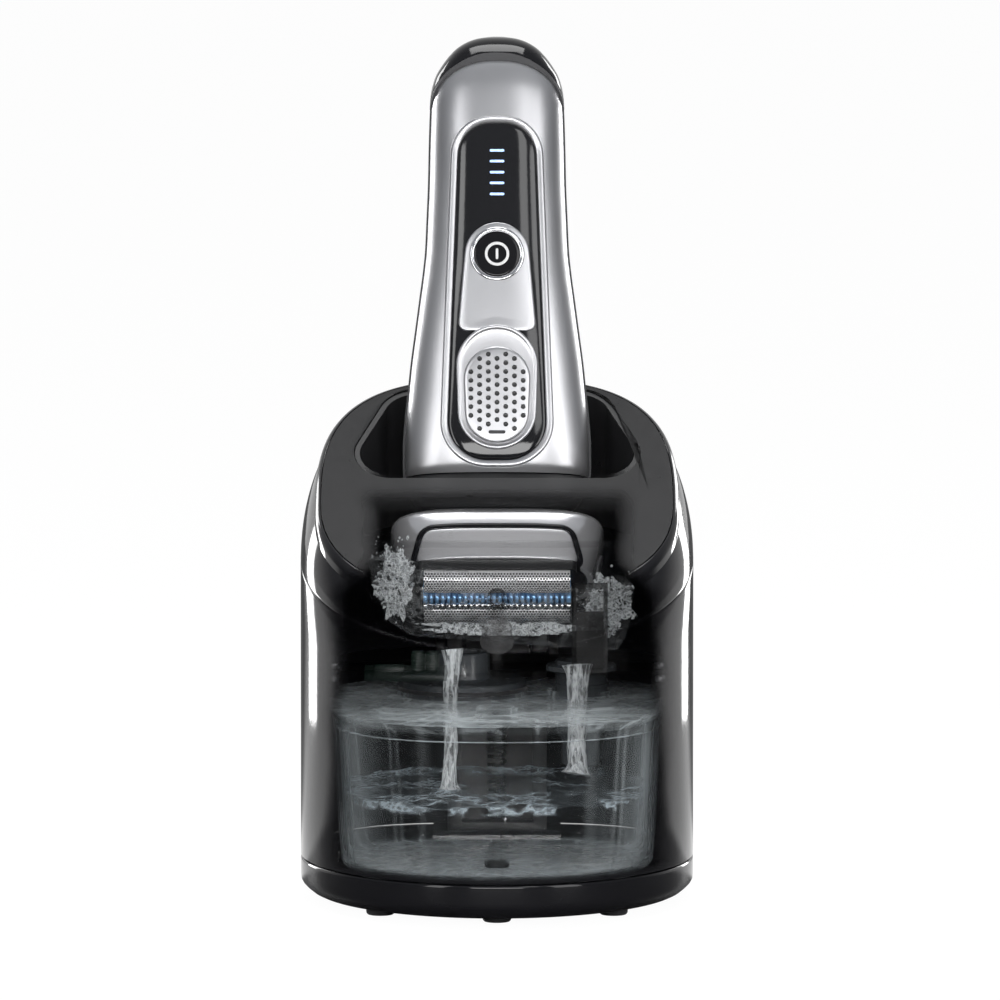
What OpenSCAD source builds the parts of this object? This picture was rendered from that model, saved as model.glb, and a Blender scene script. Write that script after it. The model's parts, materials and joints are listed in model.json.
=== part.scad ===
// Shaver cleaning station with the shaver docked head-down in its wash bowl.
// Millimetres, +Z up, the front faces -Y. The whole object is centred on X and Y and rests on Z = 0.

/* [Station body] */
// Width of the oval body
body_w = 110; // [108:0.5:118]
// Depth of the oval body
body_d = 130; // [128:0.5:140]
// Wall of the glossy outer shells
body_wall = 2.2; // [1.6:0.1:2.6]
// Height of the base band, from the table to its upper edge
base_top = 12; // [11.6:0.1:12.6]
// Height of the rubber feet that shows under the base
foot_h = 2; // [1.4:0.1:2.6]
// Radius of each rubber foot
foot_r = 4; // [3:0.25:5]
// Height of the collar seam at the body's middle
seam_z = 95; // [93:0.5:98]
// Rise of the collar seam towards the rear, in degrees
seam_tilt = 15.2; // [14:0.2:17]
// Height of the top panel at the body's middle
panel_z = 114.2; // [113.6:0.2:115.6]
// Rise of the top panel towards the rear, in degrees
panel_tilt = 23.7; // [23:0.1:24.4]
// Thickness of the top panel
panel_t = 2.2; // [1.6:0.1:2.6]

/* [Dock] */
// Lean of the docked shaver, top end to the rear, in degrees
lean = 18; // [17:0.25:18.5]
// Forward swivel of the shaving head in the dock, in degrees
swivel = 22; // [20:0.5:23]
// Rearward place of the head pivot from the body's middle
pivot_y = 24; // [23.6:0.1:24.6]
// Height of the head pivot
pivot_z = 97.5; // [97:0.25:99]
// Wall of the wash bowl
bowl_wall = 1.8; // [1.2:0.1:2]
// Wall of the dock well
well_wall = 1.5; // [1.2:0.1:1.8]

/* [Cartridge] */
// Room from the body's side to the cartridge's side
cart_room = 11; // [10:0.25:13]
// Depth of the cartridge
cart_d = 88; // [84:0.5:89]
// Height of the cartridge's lid above the table
cart_top = 56; // [54:0.5:56.5]
// Wall of the cartridge
cart_wall = 1.6; // [1.2:0.1:2]
// Depth of cleaning fluid in the cartridge
fluid_h = 20; // [8:0.5:28]
// Radius of the cartridge's drain port, on the left
drain_port_r = 16.8; // [16.4:0.1:17.6]
// Radius of the cartridge's overflow port, on the right
overflow_port_r = 8.2; // [7.8:0.1:9]

/* [Shaver] */
// Length of the handle from the head pivot to its top end
handle_len = 144.5; // [141:0.5:148]
// Wall of the handle shells
handle_wall = 1.6; // [1.2:0.1:2]
// Radius of the power button
power_r = 7.8; // [7:0.1:8.2]
// Distance from the pivot to the foil tops
foil_reach = 22.5; // [22:0.1:22.6]
// Length of a shaving foil
foil_len = 41; // [38:0.5:42]
// Radius of a shaving foil's arch
foil_r = 3.7; // [3.3:0.1:3.8]

/* [Travel] */
// Rise of the housing for a cartridge change
lift_travel = 50; // [40:1:52]

/* [Hidden] */

$fn = 64;
eps = 0.01;                     // overlap of tools that cut through a face
gap = 0.3;                      // seam between neighbouring parts
run = 0.25;                     // running clearance of a sliding part

half_w = body_w / 2;
half_d = body_d / 2;
back = half_d - 65;             // the dock, the bowl and the column keep their distance from the rear wall
side_in = half_w - 55;          // what stands beside the walls keeps its distance from them
cart_w = body_w - 2 * cart_room; // width of the cartridge
oval_n = 72;                    // corners of the oval outlines
front_p = 2;                    // roundness of the body's front half, 2 is an ellipse
rear_p = 2.8;                   // the rear half is squarer

// The origin is the middle of the whole object's footprint, which the leaning handle lengthens.
head_y = pivot_y + back;        // the head pivot's place
end_rear = 9.5;                 // rear reach of the handle's end, square to its axis
rear_reach = head_y + (handle_len - 8.5) * sin(lean) + end_rear * cos(lean);
frame_shift = (half_d - rear_reach) / 2;

/* ---- outlines ---- */

function spow(v, p) = sign(v) * pow(abs(v), 2 / p);

// One egg outline: half width a, front and rear half depths, with a roundness for each half.
function egg(a, y0, bf, br, pf = front_p, pr = rear_p, n = oval_n) = [
    for (i = [0 : n - 1])
        let (t = 360 * i / n, p = sin(t) < 0 ? pf : pr)
            [a * spow(cos(t), p), y0 + (sin(t) < 0 ? bf : br) * spow(sin(t), p)]
];

function body_outline(inset) = egg(half_w - inset, 0, half_d - inset, half_d - inset);

panel_w = half_w - 5.5;         // half width of the top panel
panel_y = -6;                   // the top panel is widest here
panel_f = half_d - 18;                   // front half depth of the top panel
panel_r = half_d - 2;           // rear half depth of the top panel
bezel_w = 1.5;                  // plan width of the bezel around the panel
bezel_drop = 4.2;               // height that the bezel falls away from the panel

function panel_outline(inset) =
    egg(panel_w - inset, panel_y, panel_f - inset, panel_r - inset, 2.3, 2.9);

function panel_plane(y) = panel_z + y * tan(panel_tilt);
function seam_plane(y) = seam_z + y * tan(seam_tilt);

// Hull of circles [x, y, r], given anticlockwise, as one outline with arcs.
function tangent(a, b) = atan2(b[1] - a[1], b[0] - a[0])
    - acos((a[2] - b[2]) / norm([b[0] - a[0], b[1] - a[1]]));
function rounded(c, grow = 0, n = 7) = [
    for (i = [0 : len(c) - 1])
        let (prev = c[(i + len(c) - 1) % len(c)], cur = c[i], next = c[(i + 1) % len(c)],
             a1 = tangent(prev, cur), a2 = tangent(cur, next), sweep = (a2 - a1 + 720) % 360)
            for (k = [0 : n]) cur_point(cur, cur[2] + grow, a1 + sweep * k / n)
];
function cur_point(c, r, a) = [c[0] + r * cos(a), c[1] + r * sin(a)];
function mirrored(c) = [c, [-c[0], c[1], c[2]]];

function ring(outline, z) = [for (p = outline) [p[0], p[1], z]];
function plane_ring(outline, drop) = [for (p = outline) [p[0], p[1], panel_plane(p[1]) - drop]];

// Solid through rings of points, all with as many points, from the lowest to the highest.
module loft(rings) {
    n = len(rings[0]);
    m = len(rings);
    polyhedron(
        points = [for (r = rings) for (p = r) p],
        faces = concat(
            [[for (i = [0 : n - 1]) i]],
            [for (j = [0 : m - 2]) for (i = [0 : n - 1]) let (k = (i + 1) % n)
                [j * n + i, (j + 1) * n + i, (j + 1) * n + k]],
            [for (j = [0 : m - 2]) for (i = [0 : n - 1]) let (k = (i + 1) % n)
                [j * n + i, (j + 1) * n + k, j * n + k]],
            [[for (i = [n - 1 : -1 : 0]) (m - 1) * n + i]]
        )
    );
}

module prism(outline, z0, z1) translate([0, 0, z0]) linear_extrude(z1 - z0) polygon(outline);

module block(x0, x1, y0, y1, z0, z1) translate([x0, y0, z0]) cube([x1 - x0, y1 - y0, z1 - z0]);

module rod(x, y, z0, z1, r) translate([x, y, z0]) cylinder(h = z1 - z0, r = r);

module x_rod(x0, x1, y, z, r) translate([x0, y, z]) rotate([0, 90, 0]) cylinder(h = x1 - x0, r = r);

module y_rod(x, y0, y1, z, r) translate([x, y0, z]) rotate([-90, 0, 0]) cylinder(h = y1 - y0, r = r);

module placed() translate([0, frame_shift, 0]) children();

module pair() for (side = [-1, 1]) scale_x(side) children();
module scale_x(side) if (side < 0) mirror([1, 0, 0]) children(); else children();

/* ---- base: tray, feet, column, inlet ---- */

floor_t = 3;                    // floor of the base
floor_z = foot_h + floor_t;
cart_z = 9.5;                   // underside of the cartridge
foot_sink = 0.5;                // depth of a foot's recess in the base
feet_at = [[-32.5, -38], [0, -52], [32.5, -38], [-30, 38], [30, 38]];
chamfer = 4;                    // the base band's lower edge

column_w = 28;
column_y = half_d - 16.4;                // front face of the guide column
column_d = 9;
column_top = 118;
channel_w = 20;                 // channel for the carriage
channel_d = 6.2;
screw_x = 12;
screw_r = 1.4;
screw_head_r = 2.6;
plinth_w = 36;

inlet_w = 13;                   // power inlet, across
inlet_h = 7.2;
inlet_d = 10.5;
inlet_z = 7.4;
inlet_lip = 0.9;

module base_plate() placed() color([0.03, 0.03, 0.035]) difference() {
    union() {
        difference() {
            loft([ring(body_outline(chamfer), foot_h), ring(body_outline(0), foot_h + chamfer * 0.8),
                  ring(body_outline(0), base_top - gap)]);
            prism(body_outline(body_wall), floor_z, base_top + eps);
        }
        // plinth that carries the column and holds the inlet
        intersection() {
            prism(body_outline(body_wall / 2), foot_h, base_top);
            block(-plinth_w / 2, plinth_w / 2, column_y - 3, half_d, foot_h, base_top);
        }
        cartridge_rests();
    }
    for (f = feet_at) rod(f[0], f[1], foot_h - eps, foot_h + foot_sink, foot_r + 0.2);
    for (x = [-screw_x, screw_x]) {
        rod(x, column_y + column_d / 2, foot_h - 1, base_top + 1, screw_r + 0.1);
        rod(x, column_y + column_d / 2, foot_h - 1, foot_h + 2.2, screw_head_r + 0.2);
    }
    block(-inlet_w / 2 - 0.1, inlet_w / 2 + 0.1, half_d - inlet_d, half_d + 1,
          inlet_z - inlet_h / 2 - 0.1, inlet_z + inlet_h / 2 + 0.1);
}

// Four rails that the cartridge stands on, and two ribs that centre it.
module cartridge_rests() {
    for (y = [-30, 0, 30]) block(-34, 34, y - 1.5, y + 1.5, floor_z - eps, cart_z);
    pair() block(cart_w / 2 + gap, cart_w / 2 + gap + 1.8, -12, 12, floor_z - eps, base_top - 1);
}

module rubber_feet() placed() color([0.12, 0.12, 0.12])
    for (f = feet_at) {
        rod(f[0], f[1], 0.6, foot_h + foot_sink, foot_r);
        translate([f[0], f[1], 0]) cylinder(h = 0.6, r1 = foot_r - 0.5, r2 = foot_r);
    }

module guide_column() placed() color([0.16, 0.16, 0.17]) difference() {
    block(-column_w / 2, column_w / 2, column_y, column_y + column_d, base_top, column_top);
    block(-channel_w / 2, channel_w / 2, column_y - 1, column_y + channel_d, base_top + 2, column_top + 1);
    for (x = [-screw_x, screw_x])
        rod(x, column_y + column_d / 2, base_top - 1, base_top + 14, screw_r + 0.1);
}

module column_screws() placed() color([0.7, 0.7, 0.72])
    for (x = [-screw_x, screw_x]) difference() {
        union() {
            rod(x, column_y + column_d / 2, foot_h + 0.4, foot_h + 2.2, screw_head_r);
            rod(x, column_y + column_d / 2, foot_h + 2, base_top + 12, screw_r);
        }
        block(x - 0.4, x + 0.4, column_y + column_d / 2 - 1.6, column_y + column_d / 2 + 1.6, foot_h, foot_h + 1.2);
    }

module power_inlet() placed() color([0.08, 0.08, 0.08]) {
    inner_y = half_d - inlet_d + 0.2;
    difference() {
        block(-inlet_w / 2, inlet_w / 2, inner_y, half_d - 1, inlet_z - inlet_h / 2, inlet_z + inlet_h / 2);
        block(-inlet_w / 2 + inlet_lip, inlet_w / 2 - inlet_lip, inner_y + 2, half_d + 1,
              inlet_z - inlet_h / 2 + inlet_lip, inlet_z + inlet_h / 2 - inlet_lip);
    }
    for (x = [-2.6, 2.6]) y_rod(x, inner_y + 1, inner_y + 4.2, inlet_z, 0.8);
}

/* ---- cartridge ---- */

drain_at = [-9.7, 10 + back];           // centre of the drain port and funnel
overflow_at = [23.7, 10 + back];        // centre of the overflow port and pipe
pump_at = [0, -32];             // centre of the pump tube
pump_port_r = 4.2;
cart_flare = 2;                 // the tub is this much wider at its foot, each side
lid_h = 6;                      // height of the lid moulding
cart_mid_y = -5;

function cart_outline(inset) =
    egg(cart_w / 2 - inset, cart_mid_y, cart_d / 2 - inset, cart_d / 2 - inset, 2.4, 3, 48);

lid_z = cart_top - lid_h;

module cartridge_tub() placed() color([0.75, 0.85, 0.88, 0.35]) {
    difference() {
        loft([ring(cart_outline(1.5), cart_z), ring(cart_outline(0), cart_z + 2),
              ring(cart_outline(-cart_flare), lid_z - 0.05)]);
        loft([ring(cart_outline(cart_wall + 1), cart_z + cart_wall),
              ring(cart_outline(cart_wall), cart_z + cart_wall + 2),
              ring(cart_outline(cart_wall - cart_flare), lid_z + eps)]);
    }
    // intake well that the pump tube dips into
    difference() {
        rod(pump_at[0], pump_at[1], cart_z + 0.5, cart_z + 9, 12.5);
        rod(pump_at[0], pump_at[1], cart_z + cart_wall, cart_z + 10, 11.3);
        for (a = [45 : 90 : 315]) translate([pump_at[0], pump_at[1], cart_z + cart_wall]) rotate(a)
            block(9, 14, -2.5, 2.5, 0, 8);
    }
}

module cartridge_lid() placed() color([0.75, 0.85, 0.88, 0.35]) difference() {
    union() {
        loft([ring(cart_outline(-cart_flare), lid_z), ring(cart_outline(-cart_flare - 0.4), cart_top - 3),
              ring(cart_outline(-cart_flare - 3.4), cart_top)]);
        rod(drain_at[0], drain_at[1], cart_top - 2, cart_top + 1, drain_port_r + 1.6);
        rod(overflow_at[0], overflow_at[1], cart_top - 2, cart_top + 1, overflow_port_r + 1.4);
        rod(pump_at[0], pump_at[1], cart_top - 2, cart_top + 1.6, pump_port_r + 1.6);
        for (p = [[-35, -20], [38, -20]]) pull_loop(p);
    }
    loft([ring(cart_outline(cart_wall - cart_flare), lid_z - eps),
          ring(cart_outline(cart_wall - cart_flare - 0.4), cart_top - 4),
          ring(cart_outline(cart_wall - cart_flare - 3), cart_top - cart_wall)]);
    rod(drain_at[0], drain_at[1], lid_z, cart_top + 2, drain_port_r);
    rod(overflow_at[0], overflow_at[1], lid_z, cart_top + 2, overflow_port_r);
    rod(pump_at[0], pump_at[1], lid_z, cart_top + 3, pump_port_r);
}

// Small upright loop moulded on the lid, to lift the cartridge by.
module pull_loop(p) translate([p[0], p[1], cart_top - 1]) rotate([90, 0, 0]) difference() {
    union() {
        translate([0, 1.6, -0.8]) cylinder(h = 1.6, r = 2.2);
        block(-2.2, 2.2, 0, 1.6, -0.8, 0.8);
    }
    translate([0, 1.6, -1]) cylinder(h = 2, r = 1);
}

fluid_z = cart_z + cart_wall + 0.05;

module cleaning_fluid() placed() color([0.7, 0.85, 0.95, 0.4]) difference() {
    loft([ring(cart_outline(cart_wall + 1.15), fluid_z), ring(cart_outline(cart_wall + 0.15), fluid_z + 2),
          ring(cart_outline(cart_wall + 0.2 - cart_flare * fluid_h / (lid_z - cart_z)), fluid_z + fluid_h)]);
    rod(pump_at[0], pump_at[1], fluid_z - 1, fluid_z + fluid_h + 1, 12.6);
}

/* ---- housing shells ---- */

function seam_ring(outline, drop) = [for (p = outline) [p[0], p[1], seam_plane(p[1]) - drop]];

boss_x = half_w - 8.5;
boss_at = [[-boss_x, -14], [boss_x, -14], [-boss_x, 14], [boss_x, 14]];
deck_z = 60;                    // underside of the chassis deck
deck_t = 2.5;
pilot_r = 1.1;
lift_button_z = 92;
lift_button_w = 15;
lift_button_h = 8;

module lower_shell() placed() color([0.02, 0.02, 0.025]) difference() {
    union() {
        difference() {
            loft([ring(body_outline(0), base_top), seam_ring(body_outline(0), gap)]);
            loft([ring(body_outline(body_wall), base_top - 1), seam_ring(body_outline(body_wall), -1)]);
        }
        intersection() {
            prism(body_outline(body_wall / 2), deck_z - 4, deck_z - 0.05);
            for (b = boss_at) hull() {
                rod(b[0], b[1], deck_z - 4, deck_z - 0.05, 3.6);
                rod(b[0] + sign(b[0]) * 6, b[1], deck_z - 4, deck_z - 0.05, 3.6);
            }
        }
    }
    for (b = boss_at) rod(b[0], b[1], deck_z - 5, deck_z + 1, pilot_r + 0.1);
    block(-lift_button_w / 2 - run, lift_button_w / 2 + run, half_d - body_wall - 1, half_d + 1,
          lift_button_z - lift_button_h / 2 - run, lift_button_z + lift_button_h / 2 + run);
}

collar_n = 6;
collar_arc = 60;
function mix(a, b, t) = [for (i = [0 : len(a) - 1]) a[i] * (1 - t) + b[i] * t];
function collar_ring_at(i, inset) =
    let (t = collar_arc * i / collar_n, out = (1 - cos(t)) / (1 - cos(collar_arc)), up = sin(t) / sin(collar_arc),
         low = body_outline(inset), high = panel_outline(inset - bezel_w))
    [for (k = [0 : oval_n - 1])
        let (x = low[k][0] * (1 - out) + high[k][0] * out, y = low[k][1] * (1 - out) + high[k][1] * out,
             z0 = seam_plane(low[k][1]), z1 = panel_plane(high[k][1]) - bezel_drop)
        [x, y, z0 * (1 - up) + z1 * up]];

start_at = [0, 3.8 - half_d, seam_plane(3.8 - half_d) + 4.73];    // middle of the start button on the collar
start_tilt = 34.6;
start_r = 4.2;

module at_start() translate(start_at) rotate([start_tilt, 0, 0]) children();

module collar_ring() placed() color([0.02, 0.02, 0.025]) difference() {
    loft([for (i = [0 : collar_n]) collar_ring_at(i, 0)]);
    loft([for (i = [-1 : collar_n + 1])
        let (k = min(max(i, 0), collar_n), drop = body_wall * 0.9 * (1 - cos(collar_arc * k / collar_n)) * 2,
             up = i < 0 ? -1 : i == 0 ? 0.35 : i > collar_n ? 5 : 0)
        [for (p = collar_ring_at(k, body_wall)) p + [0, 0, up - drop]]]);
    at_start() translate([0, 0, -6]) cylinder(h = 10, r = start_r + run);
}

module bezel_ring() placed() color([0.02, 0.02, 0.025]) difference() {
    loft([plane_ring(panel_outline(-bezel_w), bezel_drop - 0.05), plane_ring(panel_outline(-1.4), 1.6),
          plane_ring(panel_outline(-0.9), 0.5), plane_ring(panel_outline(-0.3), 0)]);
    loft([plane_ring(panel_outline(0.1), panel_t + 0.05), plane_ring(panel_outline(0.1), -1)]);
    loft([plane_ring(panel_outline(3), bezel_drop + 1), plane_ring(panel_outline(3), 0)]);
}

/* ---- dock well, in the frame of the docked shaver ---- */

well_rear = 12.8;               // inner rear wall of the well behind the shaver's axis
well_front = -20.6;
well_half = half_w - 16.5;      // half width of the well's front
well_circles = [
    [-well_half + 9, well_front + 9, 9], [well_half - 9, well_front + 9, 9], [well_half - 16.3, well_rear - 10, 10], [-well_half + 16.3, well_rear - 10, 10]
];
well_foot = 100;                // the bowl's rim
flange_t = 1.5;
flange_w = 4;

function lean_y(s, z) = head_y + (s + sin(lean) * (z - pivot_z)) / cos(lean);
function well_ring(grow, z) = [for (p = rounded(well_circles, grow)) [p[0], lean_y(p[1], z), z]];
function well_top_z(s, drop) =
    (panel_z - drop + tan(panel_tilt) * (head_y + (s - pivot_z * sin(lean)) / cos(lean)))
        / (1 - tan(panel_tilt) * tan(lean));
function well_top(grow, drop) = [for (p = rounded(well_circles, grow))
    let (z = well_top_z(p[1], drop)) [p[0], lean_y(p[1], z), z]];

module top_panel() placed() color([0.1, 0.1, 0.105]) difference() {
    loft([plane_ring(panel_outline(0.3), panel_t), plane_ring(panel_outline(0.3), 0)]);
    loft([well_ring(well_wall + 0.15, well_foot), well_top(well_wall + 0.15, -2)]);
}

rib_s = 11.15;
pin_x = 9.5;
pin_s = 26;                     // contact pins, along the shaver's axis
pin_r = 1.2;

module dock() translate([0, head_y, pivot_z]) rotate([-lean, 0, 0]) children();

module dock_well() placed() color([0.03, 0.03, 0.03]) difference() {
    union() {
        loft([well_ring(well_wall, well_foot), well_top(well_wall, 0.3)]);
        prism_ring(flange_w, well_foot, well_foot + flange_t);
    }
    difference() {
        loft([well_ring(0, well_foot - 1), well_top(0, -1)]);
        // ribs that the handle's back leans on
        dock() for (side = [-1, 1]) translate([side * 13.75, 0, 0])
            block(-0.75, 0.75, rib_s, well_rear + 1, 20, 38);
    }
    dock() for (x = [-pin_x, pin_x]) y_rod(x, well_rear - 2, well_rear + well_wall + 2, pin_s, pin_r + 0.15);
}

module prism_ring(grow, z0, z1) loft([
    [for (p = well_ring(grow, well_foot)) [p[0], p[1], z0]],
    [for (p = well_ring(grow, well_foot)) [p[0], p[1], z1]]
]);

module contact_pins() placed() color([0.8, 0.65, 0.3]) dock() for (x = [-pin_x, pin_x]) {
    y_rod(x, well_rear - 0.7, well_rear + well_wall + 1.4, pin_s, pin_r);
    y_rod(x, well_rear + well_wall + 0.1, well_rear + well_wall + 0.9, pin_s, pin_r + 0.8);
}

/* ---- wash bowl ---- */

bowl_mid = [[-27, 6 + back, 8], [31, 6 + back, 8], [29, 31 + back, 8], [-25, 31 + back, 8]];
bowl_low = [[-24, 6 + back, 7], [31, 6 + back, 7], [30, 31 + back, 7], [-23, 31 + back, 7]];
bowl_floor = [[-21, 9 + back, 6], [30, 9 + back, 6], [29, 28 + back, 6], [-20, 28 + back, 6]];
bowl_mid_z = 86;
bowl_low_z = 77;
function floor_height(x) = 72.4 - 0.075 * (x + 27);
leg_at = [[-20, 30 + back], [28, 30 + back], [10, 4 + back], [-26, 4 + back]];
peg_z = pivot_z - 21.75;
spigot_r = 4.4;
spigot_bore = 3.2;
over_spigot_r = 4.8;
over_spigot_bore = 3.6;

module bowl_space(grow) loft([
    [for (p = rounded(bowl_floor, grow)) [p[0], p[1], floor_height(p[0]) - grow]],
    ring(rounded(bowl_low, grow), bowl_low_z), ring(rounded(bowl_mid, grow), bowl_mid_z),
    well_ring(grow, well_foot - eps * (grow > 0 ? 5 : -5))
]);

module wash_bowl() placed() color([0.05, 0.05, 0.055]) difference() {
    union() {
        bowl_space(bowl_wall);
        prism_ring(flange_w, well_foot - flange_t, well_foot - 0.05);
        for (p = leg_at) rod(p[0], p[1], deck_z + deck_t, 76, 2.6);
        rod(drain_at[0], drain_at[1], 64, floor_height(drain_at[0]), spigot_r);
        rod(overflow_at[0], overflow_at[1], 64.2, floor_height(overflow_at[0]), over_spigot_r);
    }
    difference() {
        bowl_space(0);
        // pegs that the foil cassette stands on
        for (side = [-1, 1]) translate([side * 22.3, 0, 0]) block(-1.3, 1.3, 20 + back, 22.4 + back, 60, peg_z);
    }
    rod(drain_at[0], drain_at[1], 60, 80, spigot_bore);
    rod(overflow_at[0], overflow_at[1], 60, 80, over_spigot_bore);
    // warm air slots and the fluid inlet in the front wall
    for (x = [23.5, 26, 28.5]) block(x - 0.6, x + 0.6, -8 + back, 4 + back, 82, 87);
    y_rod(pump_at[0], -12 + back, 6 + back, hose_top, hose_r - 0.8);
}

/* ---- chassis and carriage ---- */

motor_r = 10.5;
fan_at = [27, -31];
fan_r = 12;
board_z = 66;
carriage_lo = 46;
carriage_hi = 64;
board_x = -25.5 - side_in;      // middle of the circuit board
post_at = [[board_x - 8.5, -22], [board_x + 7.5, -22], [board_x - 0.5, -37]];

module chassis() placed() color([0.2, 0.2, 0.21]) difference() {
    union() {
        prism(body_outline(body_wall + 0.3), deck_z, deck_z + deck_t);
        block(-9, 9, column_y - 2.9, column_y - run, carriage_lo, deck_z + 8);
        block(-channel_w / 2 + run, channel_w / 2 - run, column_y - 2.1, column_y + channel_d - run, carriage_lo, carriage_hi);
        for (p = post_at) rod(p[0], p[1], deck_z + deck_t - 1, board_z, 2);
        pair() block(14.6, 17.2, column_y - 4, half_d - 5, deck_z, deck_z + 6);
    }
    // cut-out for the guide column
    pair() block(channel_w / 2 - run, column_w / 2 + 0.4, column_y - run, half_d, deck_z - 1, deck_z + deck_t + 1);
    block(-column_w / 2 - 0.4, column_w / 2 + 0.4, column_y + channel_d - run, half_d, deck_z - 1, deck_z + deck_t + 1);
    rod(drain_at[0], drain_at[1], deck_z - 1, deck_z + 5, 8);
    rod(overflow_at[0], overflow_at[1], deck_z - 1, deck_z + 5, overflow_r + 0.2);
    rod(pump_at[0], pump_at[1], deck_z - 1, deck_z + 5, tube_r + 0.1);
    for (b = boss_at) rod(b[0], b[1], deck_z - 1, deck_z + 5, pilot_r + 0.3);
}

module chassis_screws() placed() color([0.7, 0.7, 0.72]) for (b = boss_at) difference() {
    union() {
        rod(b[0], b[1], deck_z + deck_t, deck_z + deck_t + 1.5, 2.3);
        rod(b[0], b[1], deck_z - 3.8, deck_z + deck_t + 0.5, pilot_r);
    }
    block(b[0] - 0.35, b[0] + 0.35, b[1] - 1.5, b[1] + 1.5, deck_z + deck_t + 0.8, deck_z + 6);
}

spring_r = 2.3;
spring_wire = 0.45;
spring_turns = 13;
spring_lo = base_top + 2.05;
spring_hi = carriage_lo - 0.05;

module lift_spring() placed() color([0.75, 0.75, 0.78]) {
    n = spring_turns * 16;
    rise = spring_hi - spring_lo - 2 * spring_wire;
    translate([0, column_y + channel_d / 2, spring_lo + spring_wire]) loft([for (i = [0 : n])
        let (a = 360 * spring_turns * i / n, h = rise * i / n) [for (k = [0 : 5])
            [(spring_r + spring_wire * cos(60 * k)) * cos(a), (spring_r + spring_wire * cos(60 * k)) * sin(a),
             h + spring_wire * sin(60 * k)]]]);
}

/* ---- fluid path ---- */

overflow_r = 7.4;
tube_r = 3.5;
tube_bore = 2.7;
hose_r = 2.7;
hose_y = 16 + back;             // straight reach of the hose behind the pump
hose_top = 85;

module drain_funnel() placed() color([0.6, 0.62, 0.65]) translate([drain_at[0], drain_at[1], 0]) rotate_extrude()
    polygon([[spigot_r + 0.2, 67.8], [7.7, 67.8], [7.7, deck_z - 0.05], [18, deck_z - 0.05], [18, cart_top + 2.2],
             [drain_port_r - 0.8, cart_top + 2.2], [drain_port_r - 0.8, 50], [13.5, 46.5], [12, 46.5],
             [drain_port_r - 2.6, 50.3], [drain_port_r - 2.6, 56], [spigot_r + 0.2, 61]]);

module drain_seal() placed() color([0.5, 0.5, 0.5]) {
    translate([drain_at[0], drain_at[1], 0]) rotate_extrude()
        polygon([[drain_port_r - 0.7, cart_top + 1.05], [18.2, cart_top + 1.05],
                 [18.2, cart_top + 2.15], [drain_port_r - 0.7, cart_top + 2.15]]);
}

module overflow_pipe() placed() color([0.6, 0.62, 0.65]) translate([overflow_at[0], overflow_at[1], 0]) rotate_extrude()
    polygon([[over_spigot_r + 0.2, 65.5], [overflow_r, 65.5], [overflow_r, deck_z + deck_t + 1.6],
             [10, deck_z + deck_t + 1.6], [10, deck_z + deck_t + 0.05], [overflow_r, deck_z + deck_t + 0.05],
             [overflow_r, 46], [5.6, 43], [5.6, 36], [4.4, 36], [4.4, 44], [over_spigot_r + 0.2, 48]]);

module pump_tube() placed() color([0.6, 0.62, 0.65]) translate([pump_at[0], pump_at[1], 0]) {
    difference() {
        union() {
            rod(0, 0, 12.6, deck_z + 6, tube_r);
            rod(0, 0, deck_z + deck_t + 0.05, deck_z + deck_t + 5.5, 6.5);
            y_rod(0, 4, 12, deck_z + deck_t + 2.8, 1.9);
        }
        rod(0, 0, 12, deck_z + deck_t + 4.2, tube_bore);
        rod(0, 0, deck_z + deck_t + 4, deck_z + 9, 1.1);
        y_rod(0, 0, 13, deck_z + deck_t + 2.8, 1.3);
    }
}

module pump_hose() placed() color([0.3, 0.3, 0.32]) translate([pump_at[0], pump_at[1], 0]) {
    z0 = deck_z + deck_t + 2.8;
    bend = 5;
    difference() {
        union() {
            y_rod(0, 7.5, hose_y, z0, hose_r);
            translate([0, hose_y, z0 + bend]) rotate([0, 90, 0]) rotate([0, 0, 0]) elbow(bend, hose_r);
            rod(0, hose_y + bend, z0 + bend, hose_top - bend, hose_r);
            translate([0, hose_y + 2 * bend, hose_top - bend]) rotate([0, 90, 0]) rotate(180) elbow(bend, hose_r);
        }
        y_rod(0, 7, hose_y, z0, 2);
        translate([0, hose_y, z0 + bend]) rotate([0, 90, 0]) elbow(bend, hose_r - 0.75);
        rod(0, hose_y + bend, z0 + bend - eps, hose_top - bend + eps, hose_r - 0.75);
        translate([0, hose_y + 2 * bend, hose_top - bend]) rotate([0, 90, 0]) rotate(180) elbow(bend, hose_r - 0.75);
    }
}

// Quarter bend of radius b, tube radius r.
module elbow(b, r) rotate_extrude(angle = 90) translate([b, 0]) circle(r = r);

module pump_motor() placed() color([0.55, 0.56, 0.58]) translate([pump_at[0], pump_at[1], 0]) difference() {
    union() {
        rod(0, 0, deck_z + deck_t + 5.6, 85, motor_r);
        rod(0, 0, 85 - eps, 87, 3);
    }
    rod(0, 0, deck_z + 7, 84, 1.3);
}

module pump_impeller() placed() color([0.8, 0.8, 0.82]) translate([pump_at[0], pump_at[1], 0]) {
    rod(0, 0, 14, 82, 0.9);
    for (a = [0 : 60 : 300]) rotate(a) block(0.5, 2.4, -0.3, 0.3, 14, 22);
    rod(0, 0, 14, 22, 1.3);
}

/* ---- drying fan ---- */

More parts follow.
